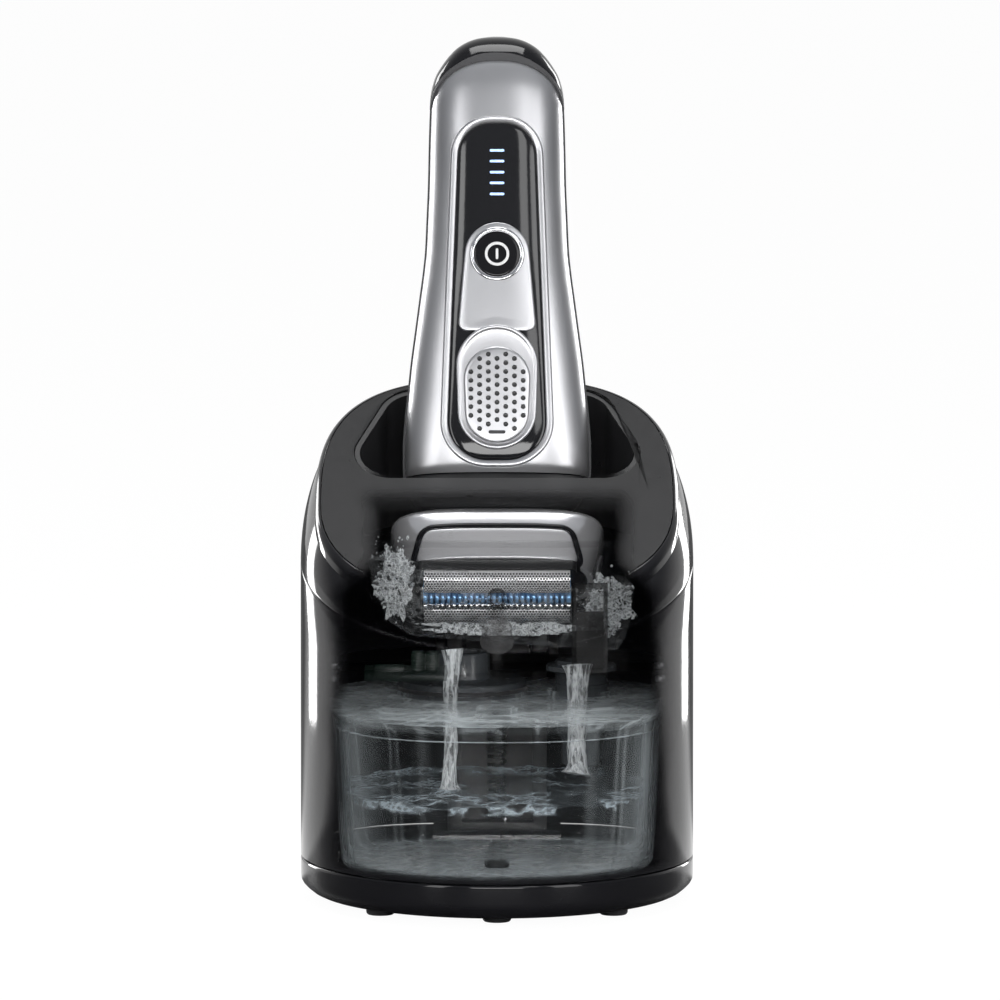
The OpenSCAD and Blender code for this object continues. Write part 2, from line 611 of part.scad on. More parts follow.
module fan_housing() placed() color([0.12, 0.12, 0.13]) difference() {
    union() {
        rod(fan_at[0], fan_at[1], deck_z + deck_t + 0.05, 75, fan_r + 1.2);
        block(21, 31, fan_at[1] + 8, -4.6 + back, deck_z + deck_t + 1, 89);
    }
    difference() {
        rod(fan_at[0], fan_at[1], deck_z + deck_t + 1.5, 76, fan_r);
        rod(fan_at[0], fan_at[1], deck_z + deck_t + 1, deck_z + deck_t + 4.5, 4.5);
    }
    block(22.2, 29.8, fan_at[1] + 8, -5.8 + back, deck_z + deck_t + 2.5, 87.8);
    block(22.2, 29.8, -10 + back, -4 + back, 81, 87.8);
    block(10, 40, -50, fan_at[1] + 14.5, 75, 95);
}

module fan_rotor() placed() color([0.16, 0.16, 0.17]) translate([fan_at[0], fan_at[1], 0]) {
    rod(0, 0, deck_z + deck_t + 4.8, 74, 4);
    for (a = [0 : 40 : 320]) rotate(a) translate([3.5, 0, deck_z + deck_t + 5])
        rotate([0, 0, 25]) cube([7, 0.8, 6]);
}

module circuit_board() placed() color([0.05, 0.25, 0.12]) {
    block(board_x - 11.5, board_x + 11.5, -41, -18, board_z + 0.05, board_z + 1.6);
    block(board_x - 8.5, board_x - 0.5, -34, -27, board_z + 1.5, board_z + 3);
    for (x = [3.5, 7.5]) rod(board_x + x, -30, board_z + 1.5, board_z + 7, 1.8);
    block(board_x + 1.5, board_x + 9.5, -24, -20, board_z + 1.5, board_z + 5);
}

/* ---- buttons of the station ---- */

module start_button() placed() color([0.12, 0.12, 0.13]) at_start() {
    translate([0, 0, -4.2]) cylinder(h = 5, r = start_r);
    translate([0, 0, -5.2]) cylinder(h = 1.2, r = start_r + 0.5);
}

module lift_button() placed() color([0.05, 0.05, 0.055]) {
    block(-lift_button_w / 2, lift_button_w / 2, half_d - 2.6, half_d + 0.8,
          lift_button_z - lift_button_h / 2, lift_button_z + lift_button_h / 2);
    block(-3, 3, rocker_y + 0.95, half_d - 2.5, lift_button_z - 1, lift_button_z + 1);
}

rocker_z = 84;
rocker_y = half_d - 4.9;

module latch_rocker() placed() color([0.6, 0.6, 0.62]) {
    difference() {
        union() {
            block(-5, 5, rocker_y - 0.9, rocker_y + 0.9, rocker_z - 9, rocker_z + 8.8);
            x_rod(-5, 5, rocker_y, rocker_z, 1.7);
            block(-4, 4, column_y + column_d + 0.08, rocker_y, rocker_z - 9, rocker_z - 5);
        }
        x_rod(-6, 6, rocker_y, rocker_z, 0.85);
    }
}

module latch_pin() placed() color([0.8, 0.8, 0.82]) {
    x_rod(-8.5, 8.5, rocker_y, rocker_z, 0.8);
    for (x = [-8.5, 6.9]) difference() {
        block(x, x + 1.6, rocker_y - 1.7, half_d - 2.6, rocker_z - 2, rocker_z + 2);
        x_rod(x - 1, x + 3, rocker_y, rocker_z, 0.7);
    }
}

/* ---- shaver handle, in the frame of the docked shaver: pivot at 0, top end at +Z, display at -Y ---- */

function half_width(z) = lookup(z, [
    [17, 26.2], [20, 26.5], [26, 26.5], [34, 26], [42, 25.2], [50, 24.4], [57, 23.5], [63, 22.7], [70, 21.8],
    [76, 21], [83, 20.3], [92, 19.9], [102, 19.5], [112, 19.3], [122, 19], [128, 18.6], [132.5, 17.5],
    [136, 15.6], [138.5, 13.8], [140.5, 12.1], [142.5, 9.4], [143.8, 6.4], [144.5, 3]
]);
function front_depth(z) = lookup(z, [
    [17, 10], [20, 11.6], [26, 12.6], [42, 13], [63, 13], [83, 12.8], [112, 12.2], [122, 11.8], [128, 11.4],
    [132.5, 10.6], [136, 9.5], [138.5, 8.4], [140.5, 7.1], [142.5, 5.2], [143.8, 3.3], [144.5, 1.5]
]);
function back_depth(z) = lookup(z, [
    [17, 8.6], [20, 10], [26, 11.4], [34, 11.9], [112, 12], [122, 11.8], [128, 11.4], [132.5, 10.6],
    [136, 9.5], [138.5, 8.4], [140.5, 7.1], [142.5, 5.2], [143.8, 3.3], [144.5, 1.5]
]);
grip_p = 2.5;                   // roundness of the handle's section
grip_n = 40;
grip_end = stretch(136);                 // upper end of the front and back shells
grip_low = 17.5;                // lower end of the shells
gasket_t = 1.2;                 // gasket between the front and back shells
end_z = stretch(138.6);                  // foot of the end cap

stations = [17, 19, 22, 26, 34, 42, 50, 57, 63, 70, 76, 83, 95, 110, 122, 128, 132.5, 136,
            138.5, 140.5, 142.5, 143.8, 144.5];

function stretch(z) = z < 122 ? z : 122 + (z - 122) * (handle_len - 122) / 22.5;
function grip_ring(z, inset, up) = [for (i = [0 : grip_n - 1])
    let (t = 360 * i / grip_n, w = max(0.4, half_width(z) - inset),
         d = max(0.4, (sin(t) < 0 ? front_depth(z) : back_depth(z)) - inset))
    [w * spow(cos(t), grip_p), d * spow(sin(t), grip_p), stretch(z) + up]];

module grip_solid(inset, low) loft([
    for (z = stations) if (z >= low && (z < 144 || inset < 1)) grip_ring(z, inset, z > 130 ? -inset * 0.8 : 0)
]);

module grip_skin(outer, inner, low) difference() {
    grip_solid(outer, low);
    grip_solid(inner, low - 5);
}

// One sheet of the handle's skin, between two depths below the surface and two angles of the section.
function sheet_point(z, inset, t) = let (
    w = half_width(z) - inset, d = (sin(t) < 0 ? front_depth(z) : back_depth(z)) - inset)
    [w * spow(cos(t), grip_p), d * spow(sin(t), grip_p), stretch(z)];
module sheet(outer, inner, z0, z1, a0, a1, n) {
    zs = [for (z = stations) if (z >= z0 && z <= z1) z];
    w = 2 * n + 2;
    m = len(zs) - 1;
    polyhedron(
        points = [for (z = zs) for (k = [0 : w - 1]) k <= n ? sheet_point(z, outer, a0 + (a1 - a0) * k / n)
                  : sheet_point(z, inner, a1 - (a1 - a0) * (k - n - 1) / n)],
        faces = concat(
            [for (j = [0 : m - 1]) for (i = [0 : w - 1]) let (k = (i + 1) % w) each
                [[j * w + i, (j + 1) * w + i, (j + 1) * w + k], [j * w + i, (j + 1) * w + k, j * w + k]]],
            [for (i = [0 : n - 1]) each [[i, i + 1, w - 2 - i], [i, w - 2 - i, w - 1 - i]]],
            [for (i = [0 : n - 1]) let (e = m * w) each
                [[e + i, e + w - 2 - i, e + i + 1], [e + i, e + w - 1 - i, e + w - 2 - i]]]
        )
    );
}

// Prism through the handle's front from an outline in X and Z.
module front_prism(outline, y0 = -20, y1 = -2) translate([0, y1, 0]) rotate([90, 0, 0])
    linear_extrude(y1 - y0) polygon(outline);

// Outline of the display insert: narrow above, wide around the lock.
insert_top = 117.4;
insert_low = 21;
insert_w = 10.9;
insert_wide = 13.7;
rim_w = 2.1;
function insert_outline(grow) = rounded([
    [-insert_wide + 11, insert_low + 11, 11], [insert_wide - 11, insert_low + 11, 11],
    [insert_w - 9, insert_top - 9, 9], [-insert_w + 9, insert_top - 9, 9]
], grow, 8);

module handle_front() placed() color([0.72, 0.72, 0.74]) dock() difference() {
    intersection() {
        sheet(0.5, handle_wall + 0.5, 17, 136, 180, 360, 24);
        block(-40, 40, -30, -gasket_t / 2 - 0.05, grip_low, grip_end);
    }
    front_prism(insert_outline(rim_w + 0.1));
}

module handle_back() placed() color([0.05, 0.05, 0.055]) dock() difference() {
    intersection() {
        sheet(0, handle_wall, 17, 136, 0, 180, 20);
        block(-40, 40, gasket_t / 2 + 0.05, 30, grip_low, grip_end);
    }
    block(-hair_w / 2 - run, hair_w / 2 + run, 6, 20, hair_lo - hair_travel - 2, hair_hi + 1);
    for (x = [-pin_x, pin_x]) y_rod(x, 4, 20, pin_s, pad_r + 0.1);
}

module handle_gasket() placed() color([0.2, 0.2, 0.21]) dock() {
    for (side = [0, 180]) intersection() {
        sheet(0, handle_wall, 17, 136, side - 12, side + 12, 4);
        block(-40, 40, -gasket_t / 2, gasket_t / 2, grip_low, grip_end + 0.1);
    }
    intersection() {
        grip_skin(0, handle_wall, 132);
        block(-40, 40, -30, 30, grip_end + 0.05, end_z - 0.1);
    }
}

module end_cap() placed() color([0.03, 0.03, 0.035]) dock() intersection() {
    grip_skin(0, handle_wall, 136);
    block(-40, 40, -30, 30, end_z, 160);
}

// A piece of the handle's front skin inside an outline, between two depths below the surface.
module front_piece(outline, outer, inner, z0 = 17, z1 = 122) intersection() {
    sheet(outer, inner, z0, z1, 215, 325, 14);
    front_prism(outline);
}

plate_low = 57.6;
plate_w = 9.4;
button_z = 79.7;
slider_lo = 25.2;
slider_hi = 53.1;
slider_w = 10;
slider_travel = 3.2;
function slider_outline(grow) = rounded([
    [0, slider_lo + slider_w - 0.4, slider_w - 0.4], [0, slider_hi - slider_w, slider_w]
], grow, 14);
function plate_outline(grow) = rounded([
    [-plate_w + 2.5, plate_low + 2.5, 2.5], [plate_w - 2.5, plate_low + 2.5, 2.5],
    [power_r - 3.4, button_z + 4, 5], [-power_r + 3.4, button_z + 4, 5]
], grow, 8);

module trim_frame() placed() color([0.75, 0.75, 0.77]) dock() difference() {
    front_piece(insert_outline(rim_w), 0.55, handle_wall + 0.5);
    front_prism(insert_outline(0.1));
}

module display_window() placed() color([0.02, 0.02, 0.02]) dock() difference() {
    front_piece(insert_outline(0), 0.9, handle_wall + 1);
    front_prism(plate_outline(0.1));
    front_prism(slot_outline());
    for (z = light_z) block(-2.3, 2.3, -20, -2, z - 0.9, z + 0.9);
}
// Slot that the lock slider's foot runs in
function slot_outline() = rounded([
    [0, slider_lo + 8, 4], [0, slider_hi - 8 + slider_travel, 4]
], 0, 10);

light_z = [97, 100.2, 103.3, 106.5, 109.6];
module charge_lights() placed() color([0.4, 0.65, 0.9]) dock() for (z = light_z)
    block(-2.15, 2.15, -front_depth(z) + 1.05, -front_depth(z) + 3, z - 0.75, z + 0.75);

module button_plate() placed() color([0.8, 0.8, 0.82]) dock() difference() {
    front_piece(plate_outline(0), 0.7, handle_wall + 1, 50, 95);
    y_rod(0, -20, -2, button_z, power_r - 0.9);
}

module power_button() placed() color([0.75, 0.75, 0.77]) dock() {
    intersection() {
        sheet(0.6, 3.4, 70, 95, 235, 305, 8);
        y_rod(0, -20, -2, button_z, power_r - 1.1);
    }
    y_rod(0, -9.7, -8.4, button_z, 2);
}

module head_lock_slider() placed() color([0.6, 0.6, 0.62]) dock() {
    difference() {
        intersection() {
            sheet(-0.5, 0.6, 22, 63, 230, 310, 10);
            front_prism(slider_outline(0));
        }
        for (i = [-3 : 3]) for (j = [0 : 6]) y_rod(i * 2.45, -20, -11.8 + abs(i) * 0.06, 31.5 + j * 2.5, 0.7, $fn = 10);
    }
    difference() {
        front_prism(rounded([[0, slider_lo + 9.5, 3.6], [0, slider_hi - 10, 3.6]], 0, 8), -12.3, -9.2);
        block(-1, 1, -13, -9, 36, 42);
    }
}

/* ---- inside the handle ---- */

module neck() placed() color([0.04, 0.04, 0.045]) dock() difference() {
    union() {
        loft([for (s = [[8.2, 21, 7.4], [10.5, 23.6, 8.4], [14, 24.8, 8.9], [grip_low - 0.1, 25.2, 9]])
            [for (i = [0 : grip_n - 1]) let (t = 360 * i / grip_n)
                [s[1] * spow(cos(t), grip_p), (s[2] - (sin(t) > 0 ? 0.8 : 0)) * spow(sin(t), grip_p), s[0]]]]);
        block(-9, 9, -4, 4, -3, 9);
        block(-11, 11, -6, 6, grip_low - 1, 22.5);
    }
    x_rod(-10, 10, 0, 0, 1.6);
    rod(0, 0, -4, 24, 2.2);
}

module shaver_motor() placed() color([0.6, 0.6, 0.62]) dock() {
    block(-11, 11, -6.5, 7, 24, 50);
    rod(0, 0, 12, 25, 1.2);
}

module battery() placed() color([0.15, 0.35, 0.25]) dock() {
    rod(0, 1.2, 62, 122, 7.2);
    rod(0, 1.2, 121, 123.5, 3);
}

module shaver_board() placed() color([0.05, 0.25, 0.12]) dock() {
    block(-9, 9, -7.5, -6.6, 56, 118);
    for (z = [64, 92]) block(-4, 4, -8.6, -7.4, z, z + 6);
}

pad_r = 1.9;
module charge_contacts() placed() color([0.8, 0.65, 0.3]) dock()
    for (x = [-pin_x, pin_x]) {
        y_rod(x, 8.4, 10.6, pin_s, pad_r);
        y_rod(x, 7.1, 8.5, pin_s, 0.8);
    }

hair_w = 13;
hair_lo = 38;
hair_hi = 62;
hair_travel = 8;
module hair_trimmer() placed() color([0.25, 0.25, 0.26]) dock() {
    intersection() {
        sheet(0.3, 2.2, 34, 63, 55, 125, 8);
        block(-hair_w / 2, hair_w / 2, 6, 20, hair_lo, hair_hi);
    }
    block(-hair_w / 2, hair_w / 2, 9.3, 9.9, hair_lo - 1.5, hair_lo + 3);
    block(-4, 4, 11, 12.2, hair_lo + 12, hair_lo + 18);
}

/* ---- shaving head, swivelled forward in the dock ---- */

module head() translate([0, head_y, pivot_z]) rotate([-lean - swivel, 0, 0]) children();

head_stations = [[-15, 26.8, 12.7, 11.2], [-10, 28.4, 12.9, 11.3], [-4, 29.6, 13, 11.2], [1, 30, 12.4, 10.4],
                 [3.2, 29, 11.2, 9.2], [4.6, 26.5, 9.4, 7.8]];
head_p = 3.2;
head_n = 48;
module head_solid(inset, cap) loft([for (s = head_stations) [for (i = [0 : head_n - 1])
    let (t = 360 * i / head_n, end = s[0] == -15 ? -cap : (s[0] > 4 ? cap - inset * 0.6 : 0))
    [(s[1] - inset) * spow(cos(t), head_p), ((sin(t) < 0 ? s[2] : s[3]) - inset) * spow(sin(t), head_p),
     s[0] + end]]]);

cover_w = 24;
cover_lo = -14.2;
cover_hi = -4.4;
function cover_outline(grow) = rounded([
    [-cover_w + 3, cover_lo + 1.5, 1.5], [cover_w - 3, cover_lo + 1.5, 1.5],
    [cover_w - 6, cover_hi - 3, 3], [-cover_w + 6, cover_hi - 3, 3]
], grow, 5);

module head_frame() placed() color([0.78, 0.78, 0.8]) head() difference() {
    union() {
        difference() {
            head_solid(0, 0);
            head_solid(1.5, 0.01);
        }
        pair() block(10.3, 14.5, -4, 4, -4, 3.2);
    }
    block(-10, 10, -7.2, 7.8, -6, 9);
    x_rod(-16, 16, 0, 0, 1.55);
    front_prism(cover_outline(1.7), -20, -6);
    for (side = [-1, 1]) x_rod(side * 26 - 6, side * 26 + 6, 0, -9, release_r + 0.2);
    block(-40, 40, -30, 30, -15.2, -14.9);
}

module head_cover() placed() color([0.82, 0.82, 0.84]) head() intersection() {
    difference() {
        head_solid(-0.25, 0);
        head_solid(1.2, 0.1);
    }
    front_prism(cover_outline(0), -20, -6);
}

module head_band() placed() color([0.08, 0.08, 0.085]) head() intersection() {
    difference() {
        head_solid(0.05, 0);
        head_solid(1.4, 0.1);
    }
    difference() {
        front_prism(cover_outline(1.6), -20, -6);
        front_prism(cover_outline(0.1), -21, -5);
    }
}

module swivel_pin() placed() color([0.7, 0.7, 0.72]) dock() x_rod(-14, 14, 0, 0, 1.5);

cassette_z = -15.3;
module foil_cassette() placed() color([0.06, 0.06, 0.065]) head() {
    difference() {
        cassette_box(20.5, -11.1, 9.7, -18.2, cassette_z + eps);
        block(-21.2, 21.2, -12.5, 11.1, -19, -10);
    }
    difference() {
        union() {
            prism(head_section(1.9), cassette_z, -12.6);
            cassette_box(20.5, -11.1, 9.7, cassette_z, cassette_z + 0.25);
        }
        block(-21.1, 21.1, -4.4, -0.4, -19, -10);
        block(-21.1, 21.1, 0.15, 3.05, -19, -10);
        for (y = [-foil_y, foil_y - 1.4]) block(-2.2, 2.2, y - 1.4, y + 1.4, -19, -10);
    }
}
function head_section(inset) = let (s = head_stations[0]) [for (i = [0 : head_n - 1])
    let (t = 360 * i / head_n)
    [(s[1] - inset) * spow(cos(t), head_p), ((sin(t) < 0 ? s[2] : s[3]) - inset) * spow(sin(t), head_p)]];
module cassette_box(x, y0, y1, z0, z1) translate([0, 0, z0]) linear_extrude(z1 - z0)
    polygon(rounded([[-x, y0, 1.9], [x, y0, 1.9], [x, y1, 1.9], [-x, y1, 1.9]], 0, 5));

foil_y = 8.5;
foil_t = 0.35;
foil_z = foil_r - foil_reach;

module foil(y) head() difference() {
    union() {
        x_rod(-foil_len / 2, foil_len / 2, y, foil_z, foil_r);
        block(-foil_len / 2, foil_len / 2, y - foil_r, y + foil_r, foil_z, -16.2);
    }
    x_rod(-foil_len, foil_len, y, foil_z, foil_r - foil_t);
    block(-foil_len, foil_len, y - foil_r + foil_t, y + foil_r - foil_t, foil_z, -10);
}
module foil_front() placed() color([0.75, 0.75, 0.77]) foil(-foil_y);
module foil_rear() placed() color([0.75, 0.75, 0.77]) foil(foil_y - 1.4);

module middle_trimmer() placed() color([0.35, 0.5, 0.75]) head() difference() {
    union() {
        x_rod(-20.8, 20.8, -2.4, -20.7, 1.7);
        block(-20.8, 20.8, -4.1, -0.7, -20.7, -14);
    }
    for (i = [-12 : 12]) block(i * 1.6 - 0.3, i * 1.6 + 0.3, -5, 0, -23, -20.3);
}

module skin_guard() placed() color([0.2, 0.2, 0.21]) head() difference() {
    union() {
        x_rod(-20.8, 20.8, 1.6, -20.9, 1.15);
        block(-20.8, 20.8, 0.45, 2.75, -20.9, -14);
    }
    for (i = [-12 : 12]) block(i * 1.6 - 0.4, i * 1.6 + 0.4, -1, 4, -23, -21.3);
}

module cutters() placed() color([0.5, 0.5, 0.52]) head() {
    for (y = [-foil_y, foil_y - 1.4]) {
        difference() {
            x_rod(-19, 19, y, foil_z + 0.2, 1.9);
            for (i = [-11 : 11]) block(i * 1.6 - 0.35, i * 1.6 + 0.35, y - 3, y + 3, foil_z - 3, foil_z);
        }
        rod(0, y, -17.6, -8, 1.1);
    }
    block(-4, 4, -foil_y - 1.1, foil_y - 0.3, -9.2, -8);
}

release_r = 3.2;
module release_button(side) head() intersection() {
    scale_x(side) x_rod(23.2, 31, 0, -9, release_r);
    union() {
        head_solid(-0.6, 0);
        block(-28, 28, -4, 4, -13, -5);
    }
}
module release_button_left() placed() color([0.3, 0.3, 0.31]) release_button(-1);
module release_button_right() placed() color([0.3, 0.3, 0.31]) release_button(1);

/* ---- nodes ---- */

base_plate();
rubber_feet();
guide_column();
column_screws();
power_inlet();
cartridge_tub();
cartridge_lid();
cleaning_fluid();
lower_shell();
collar_ring();
bezel_ring();
top_panel();
dock_well();
wash_bowl();
chassis();
chassis_screws();
lift_spring();
drain_funnel();
drain_seal();
overflow_pipe();
pump_tube();
pump_hose();
pump_motor();
pump_impeller();
fan_housing();
fan_rotor();
circuit_board();
start_button();
lift_button();
latch_rocker();
latch_pin();
contact_pins();
handle_front();
handle_back();
handle_gasket();
end_cap();
trim_frame();
display_window();
charge_lights();
button_plate();
power_button();
head_lock_slider();
neck();
shaver_motor();
battery();
shaver_board();
charge_contacts();
hair_trimmer();
head_frame();
head_cover();
head_band();
swivel_pin();
foil_cassette();
foil_front();
foil_rear();
middle_trimmer();
skin_guard();
cutters();
release_button_left();
release_button_right();
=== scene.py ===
import json
import math
import random

import bmesh
import bpy
from mathutils import Matrix, Vector, noise as mnoise


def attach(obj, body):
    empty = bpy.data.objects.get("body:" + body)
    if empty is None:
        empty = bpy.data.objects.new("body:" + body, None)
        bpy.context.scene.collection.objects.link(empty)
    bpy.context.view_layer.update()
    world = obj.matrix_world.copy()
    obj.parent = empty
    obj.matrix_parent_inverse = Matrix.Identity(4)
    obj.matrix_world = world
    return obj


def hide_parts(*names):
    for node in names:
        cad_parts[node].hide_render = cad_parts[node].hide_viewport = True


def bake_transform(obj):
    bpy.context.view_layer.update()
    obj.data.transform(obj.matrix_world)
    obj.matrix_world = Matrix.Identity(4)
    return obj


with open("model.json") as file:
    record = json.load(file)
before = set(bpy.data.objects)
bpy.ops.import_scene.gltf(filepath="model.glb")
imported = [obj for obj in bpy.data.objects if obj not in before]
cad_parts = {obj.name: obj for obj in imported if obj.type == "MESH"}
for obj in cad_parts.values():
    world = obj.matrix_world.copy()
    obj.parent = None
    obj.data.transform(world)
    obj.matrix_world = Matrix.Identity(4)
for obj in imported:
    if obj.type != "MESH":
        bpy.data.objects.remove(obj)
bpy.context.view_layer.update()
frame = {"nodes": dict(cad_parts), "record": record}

print("frame loaded:", len(frame["nodes"]), "nodes")

# Lengths are millimetres until a piece is finished, and the station's own middle is at 0, 0.
station = {"middleY": -5.0307, "pivot": (0, 24, 97.5), "lean": 18, "swivel": 22}
pivotY, pivotZ = station["pivot"][1:]
lean = math.radians(station["lean"])
toStation = Matrix.Scale(0.001, 4) @ Matrix.Translation((0, station["middleY"], 0))
toDock = toStation @ Matrix.Translation(station["pivot"]) @ Matrix.Rotation(-lean, 4, "X")
toHead = toDock @ Matrix.Rotation(-math.radians(station["swivel"]), 4, "X")


# The camera stands far off with a long lens, as the flat look of the base's curve asks.
view = {"elevation": 7, "distance": 6.224, "lens": 800, "aim": (0.00084, -0.005, 0.1118)}


def makeCamera():
    e = math.radians(view["elevation"])
    back = Vector((0, -math.cos(e), math.sin(e)))
    data = bpy.data.cameras.new("photoView")
    data.lens, data.sensor_width = view["lens"], 36
    data.clip_start, data.clip_end = 0.5, 40
    camera = bpy.data.objects.new("photoView", data)
    camera.location = Vector(view["aim"]) + back * view["distance"]
    camera.rotation_euler = (math.radians(90 - view["elevation"]), 0, 0)
    bpy.context.scene.collection.objects.link(camera)
    bpy.context.scene.camera = camera


def softBox(name, place, aim, size, watts):
    data = bpy.data.lights.new(name, "AREA")
    data.shape, data.size, data.size_y = "RECTANGLE", size[0], size[1]
    data.energy = watts
    lamp = bpy.data.objects.new(name, data)
    lamp.location = place
    lamp.rotation_euler = (Vector(aim) - Vector(place)).to_track_quat("-Z", "Y").to_euler()
    bpy.context.scene.collection.objects.link(lamp)


# Shader maths: values that take Python's operators, and materials that hand them out.
class Value:  # one output of a shader node, on which Python's operators add Math nodes
    def __init__(self, paint, socket):
        self.paint, self.socket = paint, socket

    def maths(self, operation, first, second=None):
        return self.paint.node("ShaderNodeMath", {"operation": operation}, [first, second])

    def __add__(self, other):
        return self.maths("ADD", self, other)

    def __sub__(self, other):
        return self.maths("SUBTRACT", self, other)

    def __rsub__(self, other):
        return self.maths("SUBTRACT", other, self)

    def __mul__(self, other):
        return self.maths("MULTIPLY", self, other)

    def __truediv__(self, other):
        return self.maths("DIVIDE", self, other)

    def __pow__(self, other):
        return self.maths("POWER", self, other)

    __radd__, __rmul__ = __add__, __mul__

    def size(self):
        return self.maths("ABSOLUTE", self)

    def most(self, other):
        return self.maths("MAXIMUM", self, other)

    def least(self, other):
        return self.maths("MINIMUM", self, other)

    def part(self):  # distance from the nearest whole number
        return self.maths("PINGPONG", self, 0.5)

    def ease(self, start, end, low=0.0, high=1.0):  # smooth step from start to end
        return self.paint.node("ShaderNodeMapRange", {"interpolation_type": "SMOOTHSTEP"},
                               {"Value": self, "From Min": start, "From Max": end,
                                "To Min": low, "To Max": high})


class Paint:  # one material, with the nodes behind its shader
    def __init__(self, name, colour, roughness, metallic=0.0, **fixed):
        self.material = bpy.data.materials.new(name)
        self.material.use_nodes = True
        self.tree = self.material.node_tree
        self.shader = self.tree.nodes["Principled BSDF"]
        self.colour, self.roughness = colour, roughness
        self.shader.inputs["Base Color"].default_value = (*colour, 1)
        self.shader.inputs["Roughness"].default_value = roughness
        self.shader.inputs["Metallic"].default_value = metallic
        for socket, value in fixed.items():
            self.shader.inputs[socket.replace("_", " ")].default_value = value
        self.heights, self.spot = None, None

    def node(self, kind, settings=None, inputs=(), output=0):
        made = self.tree.nodes.new(kind)
        for key, value in (settings or {}).items():
            setattr(made, key, value)
        pairs = inputs.items() if isinstance(inputs, dict) else enumerate(inputs)
        for key, value in pairs:
            if isinstance(value, Value):
                self.tree.links.new(value.socket, made.inputs[key])
            elif value is not None:
                made.inputs[key].default_value = value
        return Value(self, made.outputs[output]) if made.outputs else made

    def feed(self, socket, value):
        self.tree.links.new(value.socket, self.shader.inputs[socket])
        return self

    def place(self):  # Object coordinates in millimetres
        if self.spot is None:
            where = self.node("ShaderNodeTexCoord", output=3)
            self.spot = self.node("ShaderNodeVectorMath", {"operation": "SCALE"}, {0: where, "Scale": 1000.0})
        return self.spot

    def axis(self, which, of=None):
        return self.node("ShaderNodeSeparateXYZ", None, [of or self.place()], "XYZ".index(which))

    def turnedAway(self, falloff):  # 0 where the surface faces the eye, up to 1 at its outline
        return self.node("ShaderNodeLayerWeight", None, [0.5], 1) ** falloff

    def rayKinds(self):  # is it a ray from the camera, off a gloss, or through something clear
        return [self.node("ShaderNodeLightPath", output=kind) for kind in (0, 3, 6)]

    def unwrapped(self):  # the piece's own UV map
        return self.node("ShaderNodeTexCoord", output=2)

    def noise(self, scale, detail=2.0, stretch=(1, 1, 1)):
        where = self.node("ShaderNodeVectorMath", {"operation": "MULTIPLY"}, [self.place(), stretch])
        return self.node("ShaderNodeTexNoise", None, {"Vector": where, "Scale": scale, "Detail": detail})

    def cells(self, scale):
        return self.node("ShaderNodeTexVoronoi", {"feature": "F1"}, {"Vector": self.place(), "Scale": scale})

    def tint(self, share, first, second):  # colour between two
        ends = [c if isinstance(c, Value) else (*c, 1) for c in (first, second)]
        return self.node("ShaderNodeMix", {"data_type": "RGBA"}, {0: share, 6: ends[0], 7: ends[1]}, 2)

    def bump(self, height, depth, strength=1.0):  # depth in millimetres
        made = self.node("ShaderNodeBump", None, {"Height": height, "Distance": depth * 0.001,
                                                  "Strength": strength, "Normal": self.heights})
        self.heights = made
        return self.feed("Normal", made)

    def mottle(self, spread, scale=0.12, shade=0.0):  # uneven gloss, and uneven colour where shade is given
        cloud = self.noise(scale, 3.0)
        self.feed("Roughness", (cloud - 0.5) * (2 * spread) + self.roughness)
        if shade:
            self.feed("Base Color", self.tint(cloud, [c * (1 - shade) for c in self.colour],
                                              [c * (1 + shade) for c in self.colour]))
        return self


# Finishes. Their patterns are in millimetres.
windowShape = {"left": -49, "right": 50, "soft": 8, "neck": 40, "neckFrom": 88, "neckTo": 101,
               "fade": 12, "wander": 5, "rim": 0.5}


def seeThrough(paint, share=1.0, front=-14, low=13.0, rim=0.0):
    # The station's front is shown clear in the middle, so that the wash bowl and the cartridge show.
    x, y, z = paint.axis("X"), paint.axis("Y") - station["middleY"], paint.axis("Z")
    shape = windowShape
    pinch = z.ease(shape["neckFrom"], shape["neckTo"])
    left = shape["left"] * (1 - pinch) - shape["neck"] * pinch
    right = shape["right"] * (1 - pinch) + shape["neck"] * pinch
    wander = (paint.noise(0.06, 2.0) - 0.5) * shape["wander"]
    across = ((x + wander - left) / shape["soft"]).ease(0, 1) * ((right - x + wander) / shape["soft"]).ease(0, 1)
    window = across * y.ease(front, front - shape["fade"]) * z.ease(low - 1, low + 2) * share
    if rim:                  # the clear front keeps its outline where it turns away
        window = window * (1 - paint.turnedAway(4) * rim)
    return paint.feed("Alpha", 1 - window)


def glossBlack(name, window=False, shine=0.3):
    paint = Paint(name, (0.008, 0.008, 0.0095), 0.08, Specular_IOR_Level=shine)
    paint.mottle(0.025, 0.05, 0.15)
    paint.bump(paint.noise(0.35, 2.0), 0.012)          # faint waviness of the moulding
    paint.bump(paint.noise(6.0, 1.0), 0.0015)
    return seeThrough(paint, rim=windowShape["rim"]) if window else paint


def matteBlack(name, colour=(0.022, 0.022, 0.024), roughness=0.42, grain=3.2, window=None, shine=0.5):
    paint = Paint(name, colour, roughness, Specular_IOR_Level=shine)
    paint.mottle(0.06, 0.2, 0.12)
    paint.bump(paint.noise(grain, 3.0), 0.02)
    paint.bump(paint.cells(grain * 0.8), 0.01, 0.5)
    return seeThrough(paint, **window) if window else paint


def rubber(name, colour=(0.045, 0.045, 0.048)):
    paint = Paint(name, colour, 0.72, Sheen_Weight=0.15)
    paint.mottle(0.08, 0.3, 0.2)
    return paint.bump(paint.noise(5.0, 4.0), 0.03)


